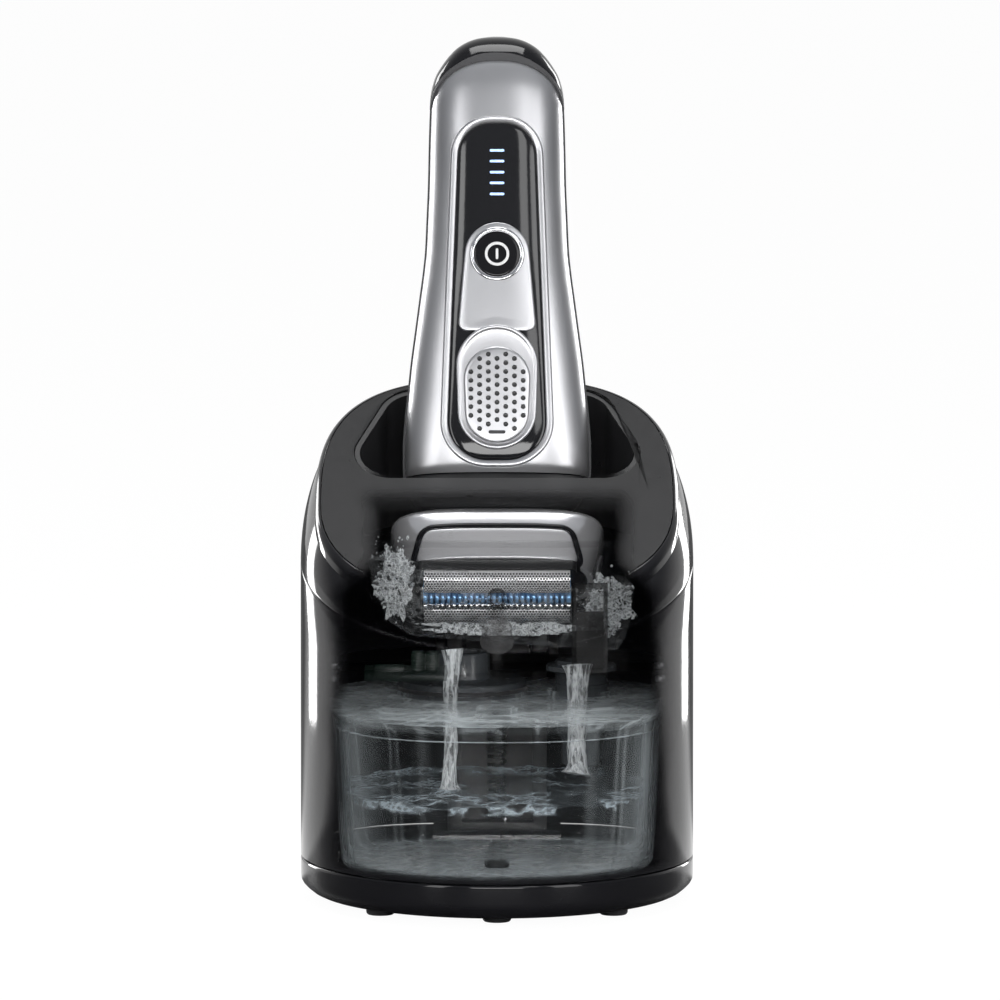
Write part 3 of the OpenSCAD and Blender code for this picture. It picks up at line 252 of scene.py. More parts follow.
def brushed(name, colour=(0.62, 0.62, 0.64), roughness=0.28, along=(1, 0.04, 0.04), scale=7.0, metal=1.0):
    paint = Paint(name, colour, roughness, metal)
    strokes = paint.noise(scale, 3.0, along)
    cloud = paint.noise(0.08, 2.0)
    paint.feed("Roughness", (strokes - 0.5) * 0.12 + (cloud - 0.5) * 0.06 + roughness)
    paint.feed("Base Color", paint.tint(strokes, [c * 0.9 for c in colour], [min(1, c * 1.06) for c in colour]))
    return paint.bump(strokes, 0.004)


def chromed(name, colour=(0.72, 0.72, 0.74), roughness=0.1):
    paint = Paint(name, colour, roughness, 1.0)
    paint.mottle(0.05, 0.25, 0.05)
    return paint.bump(paint.noise(0.8, 2.0), 0.006)


def satinMetal(name, colour=(0.53, 0.53, 0.545), roughness=0.34, metal=0.9):
    paint = Paint(name, colour, roughness, metal, Anisotropic=0.25)
    fine = paint.noise(9.0, 2.0)
    paint.feed("Roughness", (paint.noise(0.03, 1.0) - 0.5) * 0.04 + (fine - 0.5) * 0.05 + roughness)
    paint.feed("Base Color", paint.tint(fine, [c * 0.95 for c in colour], [c * 1.04 for c in colour]))
    return paint.bump(fine, 0.0012)


def ridges(paint, scale, stretch=(1, 1, 1), sharp=14, detail=3.0):  # thin threads, as in torn or falling water
    return 1 - ((paint.noise(scale, detail, stretch) - 0.5).size() * sharp).least(1.0)


# Alpha of the clear finishes: facing the eye, at their outlines, and how fast it grows towards these.
clearWall = {"facing": 0.004, "turned": 1.0, "falloff": 3.5, "ribs": 0.5, "streakFalloff": 1.3}
clearFluid = {"facing": 0.004, "turned": 0.3, "falloff": 3.5, "foam": 0.8, "foamZ": 28.5, "glintDepth": 1.5}


def clearPlastic(name):  # faint upright streaks where the wall curves away: painted reflection lines
    look = clearWall
    paint = Paint(name, (0.85, 0.93, 0.96), 0.06, 0.0, Transmission_Weight=0.15, IOR=1.45)
    streak = paint.noise(0.15, 2.0, (1, 1, 0.12))
    # Pale upright streaks that grow opaque where the wall turns away: painted reflection lines on the clear wall.
    ribs = ridges(paint, 0.07, (1, 1, 0.03), 24, 1.0) * paint.turnedAway(look["streakFalloff"])
    edge = paint.turnedAway(look["falloff"]) * (look["turned"] - look["facing"]) + look["facing"]
    paint.feed("Alpha", edge * streak.ease(0.3, 0.7, 0.7, 1.15) + ribs * look["ribs"])
    paint.feed("Roughness", paint.noise(0.4, 3.0).ease(0.3, 0.8, 0.03, 0.12))
    return paint.bump(streak, 0.05)


def ripple(name):  # clear fluid, with patches of pale threads just under its surface: painted highlights of its ripples
    look = clearFluid
    paint = Paint(name, (0.75, 0.88, 0.96), 0.03, 0.0, Transmission_Weight=0.5, IOR=1.33)
    threads = ridges(paint, 0.16, (1, 1, 1.6), 9)
    paint.bump(threads, 0.5)
    surface = paint.axis("Z").ease(look["foamZ"], look["foamZ"] + look["glintDepth"])
    edge = paint.turnedAway(look["falloff"]) * (look["turned"] - look["facing"])
    patches = paint.noise(0.045, 2.0).ease(0.42, 0.52)
    # Pale threads in patches in a band just under the surface: painted ripple highlights.
    paint.feed("Alpha", edge * 0.7 + threads * patches * surface * look["foam"] + look["facing"])
    return paint.feed("Roughness", paint.noise(0.7, 2.0).ease(0.3, 0.8, 0.02, 0.06))


def torn(name, scale, stretch, share, clear, sharp, rim=0.6):  # water pulled into threads, nearly clear between them
    paint = Paint(name, (0.92, 0.96, 0.98), 0.04, 0.0, Transmission_Weight=0.25, IOR=1.33)
    threads = ridges(paint, scale, stretch, sharp)
    paint.bump(threads, 0.5)
    paint.feed("Alpha", threads * share * (1 - clear) + paint.turnedAway(3) * rim + clear * 0.5)
    return paint.feed("Roughness", threads.ease(0, 1, 0.03, 0.2))


def circuit(name):
    paint = Paint(name, (0.004, 0.014, 0.009), 0.4)
    lines = paint.axis("X").part().most(paint.axis("Y").part() * 0.9)
    track = lines.ease(0.42, 0.47) * paint.noise(0.25, 0.0).ease(0.48, 0.52)
    paint.feed("Base Color", paint.tint(track, (0.003, 0.012, 0.008), (0.01, 0.03, 0.018)))
    paint.feed("Roughness", track.ease(0, 1, 0.3, 0.45))
    paint.bump(track, 0.04)
    return seeThrough(paint, share=0.75, front=0)


def perforated(name, pitch=0.85, hole=0.26, colour=(0.9, 0.9, 0.91), slots=False):
    # Rows of holes in the foil: the UV map is in millimetres along and around the foil.
    paint = Paint(name, colour, 0.22, 0.5)
    uv = paint.unwrapped()
    u, v = paint.axis("X", uv) / pitch, paint.axis("Y", uv) / (pitch * 0.87)
    shifted = u + v.maths("FLOOR", v) * 0.5            # every second row is half a hole further on
    across = shifted.maths("FRACT", shifted) - 0.5
    up = v.maths("FRACT", v) - 0.5
    reach = (across * across * (0.35 if slots else 1.0) + up * up * 0.8) ** 0.5
    wander = (paint.noise(1.3, 1.0) - 0.5) * 0.12
    holes = (reach + wander).ease(hole / pitch + 0.1, hole / pitch + 0.02)
    # The holes are painted near-black: painted shade in place of the space under the foil.
    paint.feed("Base Color", paint.tint(holes, colour, (0.012, 0.012, 0.014)))
    paint.feed("Metallic", 0.5 - holes * 0.4)
    paint.feed("Roughness", holes.ease(0, 1, 0.2, 0.6))
    return paint.bump(1 - holes, 0.06)


def litBlue(name):
    paint = Paint(name, (0.3, 0.5, 0.9), 0.3, Emission_Strength=1.1)
    glow = paint.noise(0.9, 1.0)
    paint.feed("Emission Color", paint.tint(glow, (0.16, 0.36, 0.95), (0.75, 0.88, 1.0)))
    return paint.feed("Roughness", glow.ease(0.3, 0.7, 0.2, 0.4))


finishes = {
    "shell": glossBlack("shellGlossBlack", True),
    "collar": glossBlack("collarGlossBlack", True),
    "bezel": glossBlack("bezelGlossBlack", True),
    "base": glossBlack("baseGlossBlack"),
    "gloss": glossBlack("glossBlack"),
    "panel": matteBlack("panelCharcoal", (0.008, 0.008, 0.009), 0.3, window={"front": 4}, shine=0.22),
    "well": matteBlack("wellBlack", (0.012, 0.012, 0.013), 0.3, window={"front": 20, "low": 60, "share": 0.985}),
    "bowl": matteBlack("bowlSmoke", (0.012, 0.013, 0.015), 0.12, window={"front": 44, "low": 60, "share": 0.93}),
    "black": matteBlack("mouldedBlack", (0.01, 0.01, 0.011), 0.38),
    "deck": matteBlack("chassisBlack", (0.005, 0.005, 0.006), 0.4, window={"front": 34, "share": 0.92}, shine=0.25),
    "charcoal": matteBlack("keyCharcoal", (0.035, 0.035, 0.037), 0.4, window={"front": -14, "share": 0.7}),
    "inlet": matteBlack("inletBlack", (0.02, 0.02, 0.02), 0.5),
    "fan": matteBlack("fanBlack", (0.006, 0.006, 0.0065), 0.4, window={"front": 0, "share": 0.98}, shine=0.25),
    "release": matteBlack("releaseGrey", (0.1, 0.1, 0.105), 0.4),
    "grip": rubber("gripBlack", (0.018, 0.018, 0.02)),
    "rubber": rubber("rubberGrey", (0.02, 0.02, 0.022)),
    "gasket": rubber("gasketGrey", (0.05, 0.05, 0.053)),
    "steel": brushed("turnedSteel"),
    "motor": brushed("motorCase", (0.2, 0.2, 0.205), 0.4, (0.05, 0.05, 1)),
    "pump": matteBlack("pumpBlack", (0.006, 0.006, 0.0065), 0.35, window={"front": 0, "share": 0.975}, shine=0.3),
    "duct": matteBlack("ductGrey", (0.05, 0.055, 0.06), 0.25, 2.0),
    "satin": satinMetal("satinSilver"),
    "plate": brushed("brushedPlate", (0.62, 0.62, 0.64), 0.3, (0.03, 1, 1), 9.0, 0.5),
    "yoke": satinMetal("yokeSilver", (0.74, 0.74, 0.76), 0.22, 0.7),
    "sign": matteBlack("signWhite", (0.8, 0.8, 0.8), 0.35),
    "chrome": chromed("chrome"),
    "darkChrome": chromed("darkChrome", (0.3, 0.3, 0.31), 0.16),
    "gold": chromed("contactGold", (0.8, 0.6, 0.28), 0.2),
    "board": circuit("boardGreen"),
    "cell": matteBlack("cellSleeve", (0.05, 0.2, 0.12), 0.4, 1.0),
    "foil": perforated("foilSteel"),
    "blue": perforated("trimmerBlue", 0.9, 0.16, (0.28, 0.55, 0.9), True),
    "clear": clearPlastic("cartridgeClear"),
    "fluid": ripple("cleaningFluid"),
    "stream": torn("fallingWater", 0.55, (1, 1, 0.2), 0.9, 0.2, 8),
    "splash": torn("splashWater", 0.55, (1, 1, 1), 1.0, 0.03, 9),
    "bowlWater": torn("bowlWater", 0.2, (1, 1, 1.4), 0.2, 0.01, 16, 0.12),
    "glass": glossBlack("displayGlass", shine=0.5),
    "lit": litBlue("litBlue"),
}
print("finishes made:", len(finishes))


# Helpers that draw outlines and turn them into solids and sheets.
def power(v, p):  # the superellipse's own cosine or sine
    return math.copysign(abs(v) ** (2 / p), v)


def egg(a, y0, front, rear, pf=2.0, pr=2.8, n=144):  # oval with its own roundness in front and behind
    points = []
    for i in range(n):
        t = 2 * math.pi * i / n
        s, p = math.sin(t), pf if math.sin(t) < 0 else pr
        points.append((a * power(math.cos(t), p), y0 + (front if s < 0 else rear) * power(s, p)))
    return points


def rounded(circles, grow=0.0, n=7):  # outline round circles (x, y, radius), given anticlockwise
    def tangent(a, b):
        return math.atan2(b[1] - a[1], b[0] - a[0]) - math.acos((a[2] - b[2]) / math.hypot(b[0] - a[0], b[1] - a[1]))
    points = []
    for i, c in enumerate(circles):
        before, after = circles[i - 1], circles[(i + 1) % len(circles)]
        start = tangent(before, c)
        sweep = (tangent(c, after) - start) % (2 * math.pi)
        for k in range(n + 1):
            a = start + sweep * k / n
            points.append((c[0] + (c[2] + grow) * math.cos(a), c[1] + (c[2] + grow) * math.sin(a)))
    return points


def resampled(outline, n):  # n points at even spacing, from where the outline crosses its own first point
    closed = list(outline) + [outline[0]]
    lengths = [0.0]
    for a, b in zip(closed, closed[1:]):
        lengths.append(lengths[-1] + math.dist(a, b))
    points, k = [], 0
    for i in range(n):
        at = lengths[-1] * i / n
        while lengths[k + 1] < at:
            k += 1
        span = lengths[k + 1] - lengths[k] or 1
        share = (at - lengths[k]) / span
        points.append(tuple(a + (b - a) * share for a, b in zip(closed[k], closed[k + 1])))
    return points


def flat(outline, z):
    return [(x, y, z) for x, y in outline]


def grow(bm, edges, line, points):  # the next row of a loft or a sheet: its edges and its vertices
    grown = bmesh.ops.extrude_edge_only(bm, edges=edges)["geom"]
    fresh = {g for g in grown if isinstance(g, bmesh.types.BMVert)}
    edges = [g for g in grown if isinstance(g, bmesh.types.BMEdge) and fresh.issuperset(g.verts)]
    line = [next(e.other_vert(v) for e in v.link_edges if e.other_vert(v) in fresh) for v in line]
    for v, p in zip(line, points):
        v.co = p
    return edges, line


def loft(bm, rings, low=True, high=True, close=False):
    # One edge loop is extruded from ring to ring, and its ends are capped, left open or bridged.
    made = bmesh.ops.create_circle(bm, segments=len(rings[0]), radius=1)
    loop = made["verts"]
    for v, p in zip(loop, rings[0]):
        v.co = p
    edges = [e for v in loop for e in v.link_edges if e.verts[0] is v]
    firstEdges = list(edges)
    for ring in rings[1:]:
        edges, loop = grow(bm, edges, loop, ring)
    if close:
        bmesh.ops.bridge_loops(bm, edges=firstEdges + edges)
        return
    if low:
        bmesh.ops.edgeloop_fill(bm, edges=firstEdges)
    if high:
        bmesh.ops.edgeloop_fill(bm, edges=edges)


def sheetOf(bm, rows):  # an open sheet through rows of points, extruded from row to row
    line = [bm.verts.new(rows[0][0])]
    for p in rows[0][1:]:
        line += bmesh.ops.extrude_vert_indiv(bm, verts=[line[-1]])["verts"]
        line[-1].co = p
    edges = list(bm.edges)
    for row in rows[1:]:
        edges, line = grow(bm, edges, line, row)


def between(first, second, share):  # the ring part of the way from one ring to another
    return [tuple(p[i] + (q[i] - p[i]) * share for i in range(3)) for p, q in zip(first, second)]


def tidyShell(bm, merge=1e-4):
    bmesh.ops.remove_doubles(bm, verts=bm.verts, dist=merge)
    bmesh.ops.dissolve_degenerate(bm, dist=merge, edges=bm.edges)
    bmesh.ops.recalc_face_normals(bm, faces=bm.faces)


def finished(bm, name, body, slotName, finish, nodes=(), to=toStation, edge=0.25, sharp=35, tidy=True):
    # The piece as an object at the origin, on its body, with soft edges of the given width in millimetres.
    if tidy:
        tidyShell(bm)
    bm.transform(to)
    mesh = bpy.data.meshes.new(name)
    bm.to_mesh(mesh)
    bm.free()
    piece = bpy.data.objects.new(name, mesh)
    bpy.context.scene.collection.objects.link(piece)
    mesh.shade_smooth()
    if edge:
        bevel = piece.modifiers.new("softEdge", "BEVEL")
        bevel.width, bevel.segments = edge * 0.001, 2
        bevel.limit_method, bevel.angle_limit = "ANGLE", math.radians(sharp)
        bevel.harden_normals, bevel.miter_outer = True, "MITER_ARC"
    else:
        mesh.set_sharp_from_angle(angle=math.radians(sharp))
    mesh.materials.append(finishes[finish].material)
    if body:
        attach(piece, body)
    if nodes:
        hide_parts(*nodes)
    return piece


def shaped(builder, *facts, **more):
    made = bmesh.new()
    builder(made)
    return finished(made, *facts, **more)


bodyOf = {node: body for body, nodes in frame["record"]["behaviour"]["bodies"].items() for node in nodes}
slotOf = {part["node"]: part["material_slot"] for part in frame["record"]["subparts"]}


def reworked(node, finish, name=None, edge=0.25, sharp=35, change=None):
    # A merged copy of a CAD node, with its flats joined up and its edges softened.
    bm = bmesh.new()
    bm.from_mesh(frame["nodes"][node].data)
    bmesh.ops.remove_doubles(bm, verts=bm.verts, dist=3e-6)
    bmesh.ops.dissolve_limit(bm, angle_limit=math.radians(0.6), verts=bm.verts, edges=bm.edges)
    if change:
        change(bm)
    words = node.split("_")
    title = name or words[0] + "".join(w.capitalize() for w in words[1:])
    return finished(bm, title, bodyOf[node], slotOf[node], finish, [node], Matrix.Identity(4), edge, sharp, False)


def spunPiece(bm, profile, centre, steps=64):  # a closed profile (radius, z) turned round a vertical axis
    made = bmesh.ops.create_circle(bm, segments=len(profile), radius=1)
    for v, (r, z) in zip(made["verts"], profile):
        v.co = (centre[0] + r, centre[1], z)
    edges = [e for v in made["verts"] for e in v.link_edges if e.verts[0] is v]
    bmesh.ops.spin(bm, geom=made["verts"] + edges, cent=(*centre, 0), axis=(0, 0, 1),
                   angle=2 * math.pi, steps=steps, use_merge=True)


def tube(bm, path, radii, segments):  # a round tube along points, capped at both ends
    rings, side = [], Vector((1, 0, 0))
    for i, p in enumerate(path):
        p = Vector(p)
        ahead = Vector(path[min(i + 1, len(path) - 1)]) - Vector(path[max(i - 1, 0)])
        ahead.normalize()
        side = (side - ahead * side.dot(ahead)).normalized()
        up = ahead.cross(side)
        rings.append([p + (side * math.cos(a) + up * math.sin(a)) * radii[i]
                      for a in (2 * math.pi * k / segments for k in range(segments))])
    loft(bm, rings)


# The station's body.
shell = {"halfW": 55, "halfD": 65, "wall": 2.2, "bandFoot": 2.0,
         "seamZ": 95, "seamTilt": 15.2, "panelZ": 114.2, "panelTilt": 23.7, "bezelDrop": 4.2}
panel = {"halfW": 49.5, "middleY": -6, "front": 47, "rear": 63, "thick": 2.2}


def bodyOutline(inset, n=144):
    return egg(shell["halfW"] - inset, 0, shell["halfD"] - inset, shell["halfD"] - inset, n=n)


def panelOutline(inset, n=144):
    return egg(panel["halfW"] - inset, panel["middleY"], panel["front"] - inset, panel["rear"] - inset, 2.3, 2.9, n)


def panelPlane(y):
    return shell["panelZ"] + y * math.tan(math.radians(shell["panelTilt"]))


def seamPlane(y):
    return shell["seamZ"] + y * math.tan(math.radians(shell["seamTilt"]))


def atSeam(outline, drop):
    return [(x, y, seamPlane(y) - drop) for x, y in outline]


def atPanel(outline, drop):
    return [(x, y, panelPlane(y) - drop) for x, y in outline]


def baseBand(bm):  # rounded foot, upright band and a rolled upper lip
    lower = [(4.9, 0.0), (4.0, 0.05), (2.9, 0.55), (1.6, 1.6), (0.6, 2.6), (0.12, 3.5), (0.0, 4.6)]
    upper = [(0.0, 8.9), (0.05, 9.3), (0.22, 9.58), (0.5, 9.7), (1.9, 9.7), (2.15, 9.6), (2.2, 9.3), (2.2, 3.0)]
    rings = [flat(bodyOutline(inset), shell["bandFoot"] + up) for inset, up in lower + upper]
    loft(bm, rings)


def lowerShell(bm):
    wall, rim = shell["wall"], 0.3
    outer = [flat(bodyOutline(0.35), 12.0), flat(bodyOutline(0.1), 12.1), flat(bodyOutline(0), 12.4)]
    outer += [[(x, y, 12.4 + (seamPlane(y) - rim - 12.9) * k / 6) for x, y in bodyOutline(0)] for k in range(1, 7)]
    outer += [atSeam(bodyOutline(0.1), rim + 0.15), atSeam(bodyOutline(0.35), rim)]
    inner = [atSeam(bodyOutline(wall), rim), flat(bodyOutline(wall), 12.0)]
    loft(bm, outer + inner, close=True)


def collarRings(inset, steps, drop=0.0):
    arc, rings = math.radians(60), []
    low, high = bodyOutline(inset), panelOutline(inset - 1.5)
    for i in range(steps + 1):
        t = arc * i / steps
        out, up = (1 - math.cos(t)) / (1 - math.cos(arc)), math.sin(t) / math.sin(arc)
        ring = []
        for a, b in zip(low, high):
            x, y = a[0] + (b[0] - a[0]) * out, a[1] + (b[1] - a[1]) * out
            foot, top = seamPlane(a[1]), panelPlane(b[1]) - shell["bezelDrop"]
            ring.append((x, y, foot + (top - foot) * up - drop * (1 - math.cos(t))))
        rings.append(ring)
    return rings


def collar(bm):
    outer = collarRings(0, 14)
    foot = [atSeam(bodyOutline(0.35), 0), atSeam(bodyOutline(0.1), -0.1)]
    inner = collarRings(shell["wall"], 6, shell["wall"] * 1.8)
    outer[0] = atSeam(bodyOutline(0), -0.35)
    inner[0] = atSeam(bodyOutline(shell["wall"]), 0)
    loft(bm, foot + outer + inner[::-1], close=True)


def bezel(bm):  # gloss rim that frames the top panel
    outline = [(-1.5, 4.15), (-1.5, 2.6), (-1.45, 1.7), (-1.25, 0.95), (-0.85, 0.4), (-0.3, 0.1), (0.0, 0.05),
               (0.1, 0.15), (0.1, 2.2), (3.0, 2.25), (3.0, 3.9)]
    loft(bm, [atPanel(panelOutline(inset), drop) for inset, drop in outline], close=True)


well = {"rear": 12.8, "front": -20.6, "wall": 1.5, "foot": 100, "flange": 4}
wellCircles = [(-29.5, well["front"] + 9, 9), (29.5, well["front"] + 9, 9),
               (22.2, well["rear"] - 10, 10), (-22.2, well["rear"] - 10, 10)]


def leanY(s, z):
    return pivotY + (s + math.sin(lean) * (z - pivotZ)) / math.cos(lean)


def wellAt(grow, z, n=16):
    return [(x, leanY(s, z), z) for x, s in rounded(wellCircles, grow, n)]


def wellTop(grow, drop, n=16):  # the well's outline where it meets the sloping panel
    slope, ring = math.tan(math.radians(shell["panelTilt"])), []
    for x, s in rounded(wellCircles, grow, n):
        level = pivotY + (s - pivotZ * math.sin(lean)) / math.cos(lean)
        z = (shell["panelZ"] - drop + slope * level) / (1 - slope * math.tan(lean))
        ring.append((x, leanY(s, z), z))
    return ring


def topPanel(bm):
    n = 4 * 17
    hole = [wellTop(1.65, drop) for drop in (panel["thick"], 0.15, 0.0)]
    start = min(range(144), key=lambda i: math.dist(panelOutline(0.3)[i], hole[0][0][:2]))
    edge = resampled([panelOutline(0.3)[(i + start) % 144] for i in range(144)], n)
    rings = [hole[0], hole[1]]
    rim = wellTop(1.85, 0.0)
    rings.append(rim)
    for k in (0.3, 0.65):
        rings.append([(a[0] + (b[0] - a[0]) * k, a[1] + (b[1] - a[1]) * k, panelPlane(a[1] + (b[1] - a[1]) * k))
                      for a, b in zip(rim, edge)])
    rings += [atPanel(edge, 0), atPanel(edge, panel["thick"])]
    loft(bm, rings, close=True)


def dockWell(bm):
    z0, thick = well["foot"], 1.5
    rings = [wellAt(well["flange"], z0), wellAt(well["flange"], z0 + thick), wellAt(well["wall"] + 0.3, z0 + thick)]
    top, foot = wellTop(well["wall"], 0.3), wellAt(well["wall"], z0 + thick + 0.3)
    inTop, inFoot = wellTop(0, 0.3), wellAt(0, z0)
    rings += [between(foot, top, k) for k in (0, 0.5, 1)] + [between(inTop, inFoot, k) for k in (0, 0.5, 1)]
    loft(bm, rings, close=True)


def bored(bm, drill, to):  # the solid in bm less the solid that drill builds, both in millimetres
    cutter = bmesh.new()
    drill(cutter)
    cutter.transform(to)
    objects = []
    for part in (bm, cutter):
        tidyShell(part)
        mesh = bpy.data.meshes.new("boring")
        part.to_mesh(mesh)
        part.free()
        objects.append(bpy.data.objects.new("boring", mesh))
        bpy.context.scene.collection.objects.link(objects[-1])
    cut = objects[0].modifiers.new("cut", "BOOLEAN")
    cut.operation, cut.solver, cut.object = "DIFFERENCE", "EXACT", objects[1]
    bpy.context.view_layer.update()
    result = bmesh.new()
    result.from_object(objects[0], bpy.context.evaluated_depsgraph_get())
    for made in objects:
        mesh = made.data
        bpy.data.objects.remove(made)
        bpy.data.meshes.remove(mesh)
    return result


def boxDrill(size, middle):
    def build(bm):
        bmesh.ops.create_cube(bm, size=1, matrix=Matrix.Translation(middle) @ Matrix.Diagonal((*size, 1)))
        bmesh.ops.bevel(bm, geom=list(bm.edges), offset=0.5, affect="EDGES", segments=3, profile=0.5, material=-1)
    return build


def roundDrill(radius, length):
    def build(bm):
        bmesh.ops.create_cone(bm, cap_ends=True, segments=64, radius1=radius, radius2=radius, depth=length)
    return build


inlet = {"size": (13.2, 12, 7.4), "middle": (0, 61, 7.4)}
startKey = {"middle": (0, -61.2, 83.1), "tilt": 34.6, "radius": 4.2}
liftKey = {"size": (15.5, 8, 8.5), "middle": (0, 64, 92)}
atStart = Matrix.Translation(startKey["middle"]) @ Matrix.Rotation(math.radians(startKey["tilt"]), 4, "X")


tray = {"near": 1.2, "shrink": 0.985, "under": 0.0048, "foot": 2.3}


def baseTray(bm):
    # The tray inside the band: a copy of its CAD node, drawn in a little so that the band covers it.
    for v in bm.verts:
        x, y = v.co.x * 1000, v.co.y * 1000 - station["middleY"]
        bend = 2 if y < 0 else 2.8
        edgeY = shell["halfD"] * (1 - min(1, abs(x) / shell["halfW"]) ** bend) ** (1 / bend)
        if abs(y) > edgeY - tray["near"] or abs(x) > shell["halfW"] - tray["near"] or v.co.z < tray["under"]:
            inY = y * tray["shrink"] + station["middleY"]
            v.co = Vector((x * tray["shrink"], inY, max(v.co.z * 1000, tray["foot"]))) * 0.001


for builder, name, slotName, finish, nodes, drill in (
        (baseBand, "baseBand", "gloss_black", "base", (), (boxDrill(inlet["size"], inlet["middle"]), Matrix())),
        (lowerShell, "lowerShell", "gloss_black", "shell", ["lower_shell"],
         (boxDrill(liftKey["size"], liftKey["middle"]), Matrix())),
        (collar, "collar", "gloss_black", "collar", ["collar_ring"],
         (roundDrill(startKey["radius"] + 0.25, 14), atStart)),
        (bezel, "bezel", "gloss_black", "bezel", ["bezel_ring"], None),
        (topPanel, "topPanel", "matte_charcoal", "panel", ["top_panel"], None),
        (dockWell, "dockWell", "well_black", "well", ["dock_well"], None)):
    made = bmesh.new()
    builder(made)
    if drill:
        made = bored(made, *drill)
    finished(made, name, "base" if name == "baseBand" else "housing", slotName, finish, nodes, edge=0.15)
reworked("base_plate", "base", "baseTray", 0, change=baseTray)
print("station body made")


# The wash bowl, the cartridge and what carries the fluid.
bowl = {"wall": 1.8, "midZ": 86, "lowZ": 77, "drain": (-9.7, 10), "overflow": (23.7, 10)}
bowlMid = [(-27, 6, 8), (31, 6, 8), (29, 31, 8), (-25, 31, 8)]
bowlLow = [(-24, 6, 7), (31, 6, 7), (30, 31, 7), (-23, 31, 7)]
bowlFloor = [(-21, 9, 6), (30, 9, 6), (29, 28, 6), (-20, 28, 6)]


def bowlRings(grow, steps=5):
    # The bowl's wall as rings, from its floor, which falls to the right, up to the well's foot.
    stages = [[(x, y, 72.4 - 0.075 * (x + 27) - grow + up) for x, y in rounded(bowlFloor, grow + out, 16)]
              for out, up in ((-2.2, 0), (-0.7, 0.5), (0, 1.6))]
    stages += [flat(rounded(bowlLow, grow, 16), bowl["lowZ"]), flat(rounded(bowlMid, grow, 16), bowl["midZ"]),
               wellAt(grow, well["foot"])]
    rings = [stages[0]]
    for a, b in zip(stages, stages[1:]):
        rings += [between(a, b, k / steps) for k in range(1, steps + 1)]
    return rings


def washBowl(bm):
    outer, inner = bowlRings(bowl["wall"]), bowlRings(0)
    rim = [wellAt(well["flange"], well["foot"] - 1.5), wellAt(well["flange"], well["foot"] - 0.1)]
    loft(bm, outer + rim + inner[::-1])
    bmesh.ops.smooth_vert(bm, verts=[v for v in bm.verts if v.co.z < 85], factor=0.35, use_axis_x=True,
                          use_axis_y=True, use_axis_z=True)


cartridge = {"halfW": 44, "middleY": -5, "foot": 9.5, "wall": 1.6, "level": 20.2}
streams = ({"top": (-12.6, -6.5, 70.5), "foot": (-13.3, -12, 31.2), "wide": 3.1, "thin": 1.85, "ring": 1.5},
           {"top": (22.6, -6.0, 66.0), "foot": (22.2, -12, 36.0), "wide": 4.3, "thin": 2.6, "ring": 1.2})


def cartridgeOutline(inset, n=128):
    c = cartridge
    return egg(c["halfW"] - inset, c["middleY"], c["halfW"] - inset, c["halfW"] - inset, 2.4, 3, n)


def cartridgeTub(bm):
    c, wall = cartridge, cartridge["wall"]
    outer = [(4.5, 0.1), (3.2, 0.0), (1.9, 0.35), (0.8, 1.3), (0.2, 2.6), (-0.3, 8), (-0.8, 16), (-1.4, 28),
             (-1.98, 40.4)]
    inner = [(-0.4, 40.4), (0.2, 28), (0.8, 16), (1.3, 8), (1.8, 3.4), (2.6, 2.2), (3.8, wall), (6, wall + 0.05)]
    loft(bm, [flat(cartridgeOutline(i), c["foot"] + z) for i, z in outer + inner])


def fluid(bm):
    # The liquid's body is a lofted pool, its face raised by gentle waves and by rings round each stream.
    c, depth = cartridge, cartridge["level"]
    foot = c["foot"] + c["wall"] + 0.1
    edge = [(4.6, 0.0), (3.0, 0.7), (2.1, 2.2), (1.5, 8), (0.95, depth)]
    rings = [flat(cartridgeOutline(i), foot + z) for i, z in edge]
    for share in (0.94, 0.86, 0.78, 0.7, 0.62, 0.54, 0.46, 0.38, 0.3, 0.22, 0.14, 0.06):
        rings.append([(x * share, c["middleY"] + (y - c["middleY"]) * share, foot + depth) for x, y, z in rings[4]])
    loft(bm, rings)
    for v in bm.verts:
        if v.co.z > foot + depth - 0.01:
            x, y = v.co.x, v.co.y
            v.co.z += 0.7 * math.sin(x * 0.16 + 0.6) * math.cos(y * 0.13) + 0.35 * math.sin(x * 0.41 + y * 0.3)
            for flow in streams:
                r = math.hypot(x - flow["foot"][0], y - flow["foot"][1])
                v.co.z += flow["ring"] * math.cos(r * 0.85) * math.exp(-r / 7.5)


for builder, name, slotName, finish, nodes, body, edge in (
        (washBowl, "washBowl", "well_black", "bowl", ["wash_bowl"], "housing", 0.15),
        (cartridgeTub, "cartridgeTub", "clear_plastic", "clear", ["cartridge_tub"], "base", 0),
        (fluid, "fluidPool", "fluid", "fluid", ["cleaning_fluid"], "base", 0)):
    shaped(builder, name, body, slotName, finish, nodes, edge=edge, sharp=40)

reworked("cartridge_lid", "clear", edge=0.35, sharp=28)


def drainFunnel(bm):  # stepped coupling between the bowl's drain and the cartridge
    spunPiece(bm, [(4.6, 67.8), (7.3, 67.8), (7.7, 67.4), (7.7, 62.4), (8.3, 60.6), (9.4, 60.0), (17.6, 59.9),
                   (18, 59.5), (18, 58.3), (16.0, 58.2), (16.0, 50), (15.6, 49.2), (13.5, 46.7), (12, 46.5),
                   (12.0, 47.0), (14.2, 50.3), (14.2, 56), (12.5, 57.4), (8, 59.2), (4.6, 61)], bowl["drain"], 72)
    for z in (52.5, 55.0):  # raised sealing beads
        spunPiece(bm, [(15.9, z - 0.4), (16.3, z - 0.25), (16.45, z), (16.3, z + 0.25), (15.9, z + 0.4)],
                  bowl["drain"], 72)


def drainSeal(bm):
    spunPiece(bm, [(16.1, 57.05), (18.0, 57.05), (18.25, 57.3), (18.25, 57.9), (18.0, 58.15), (16.1, 58.15)],
              bowl["drain"], 72)


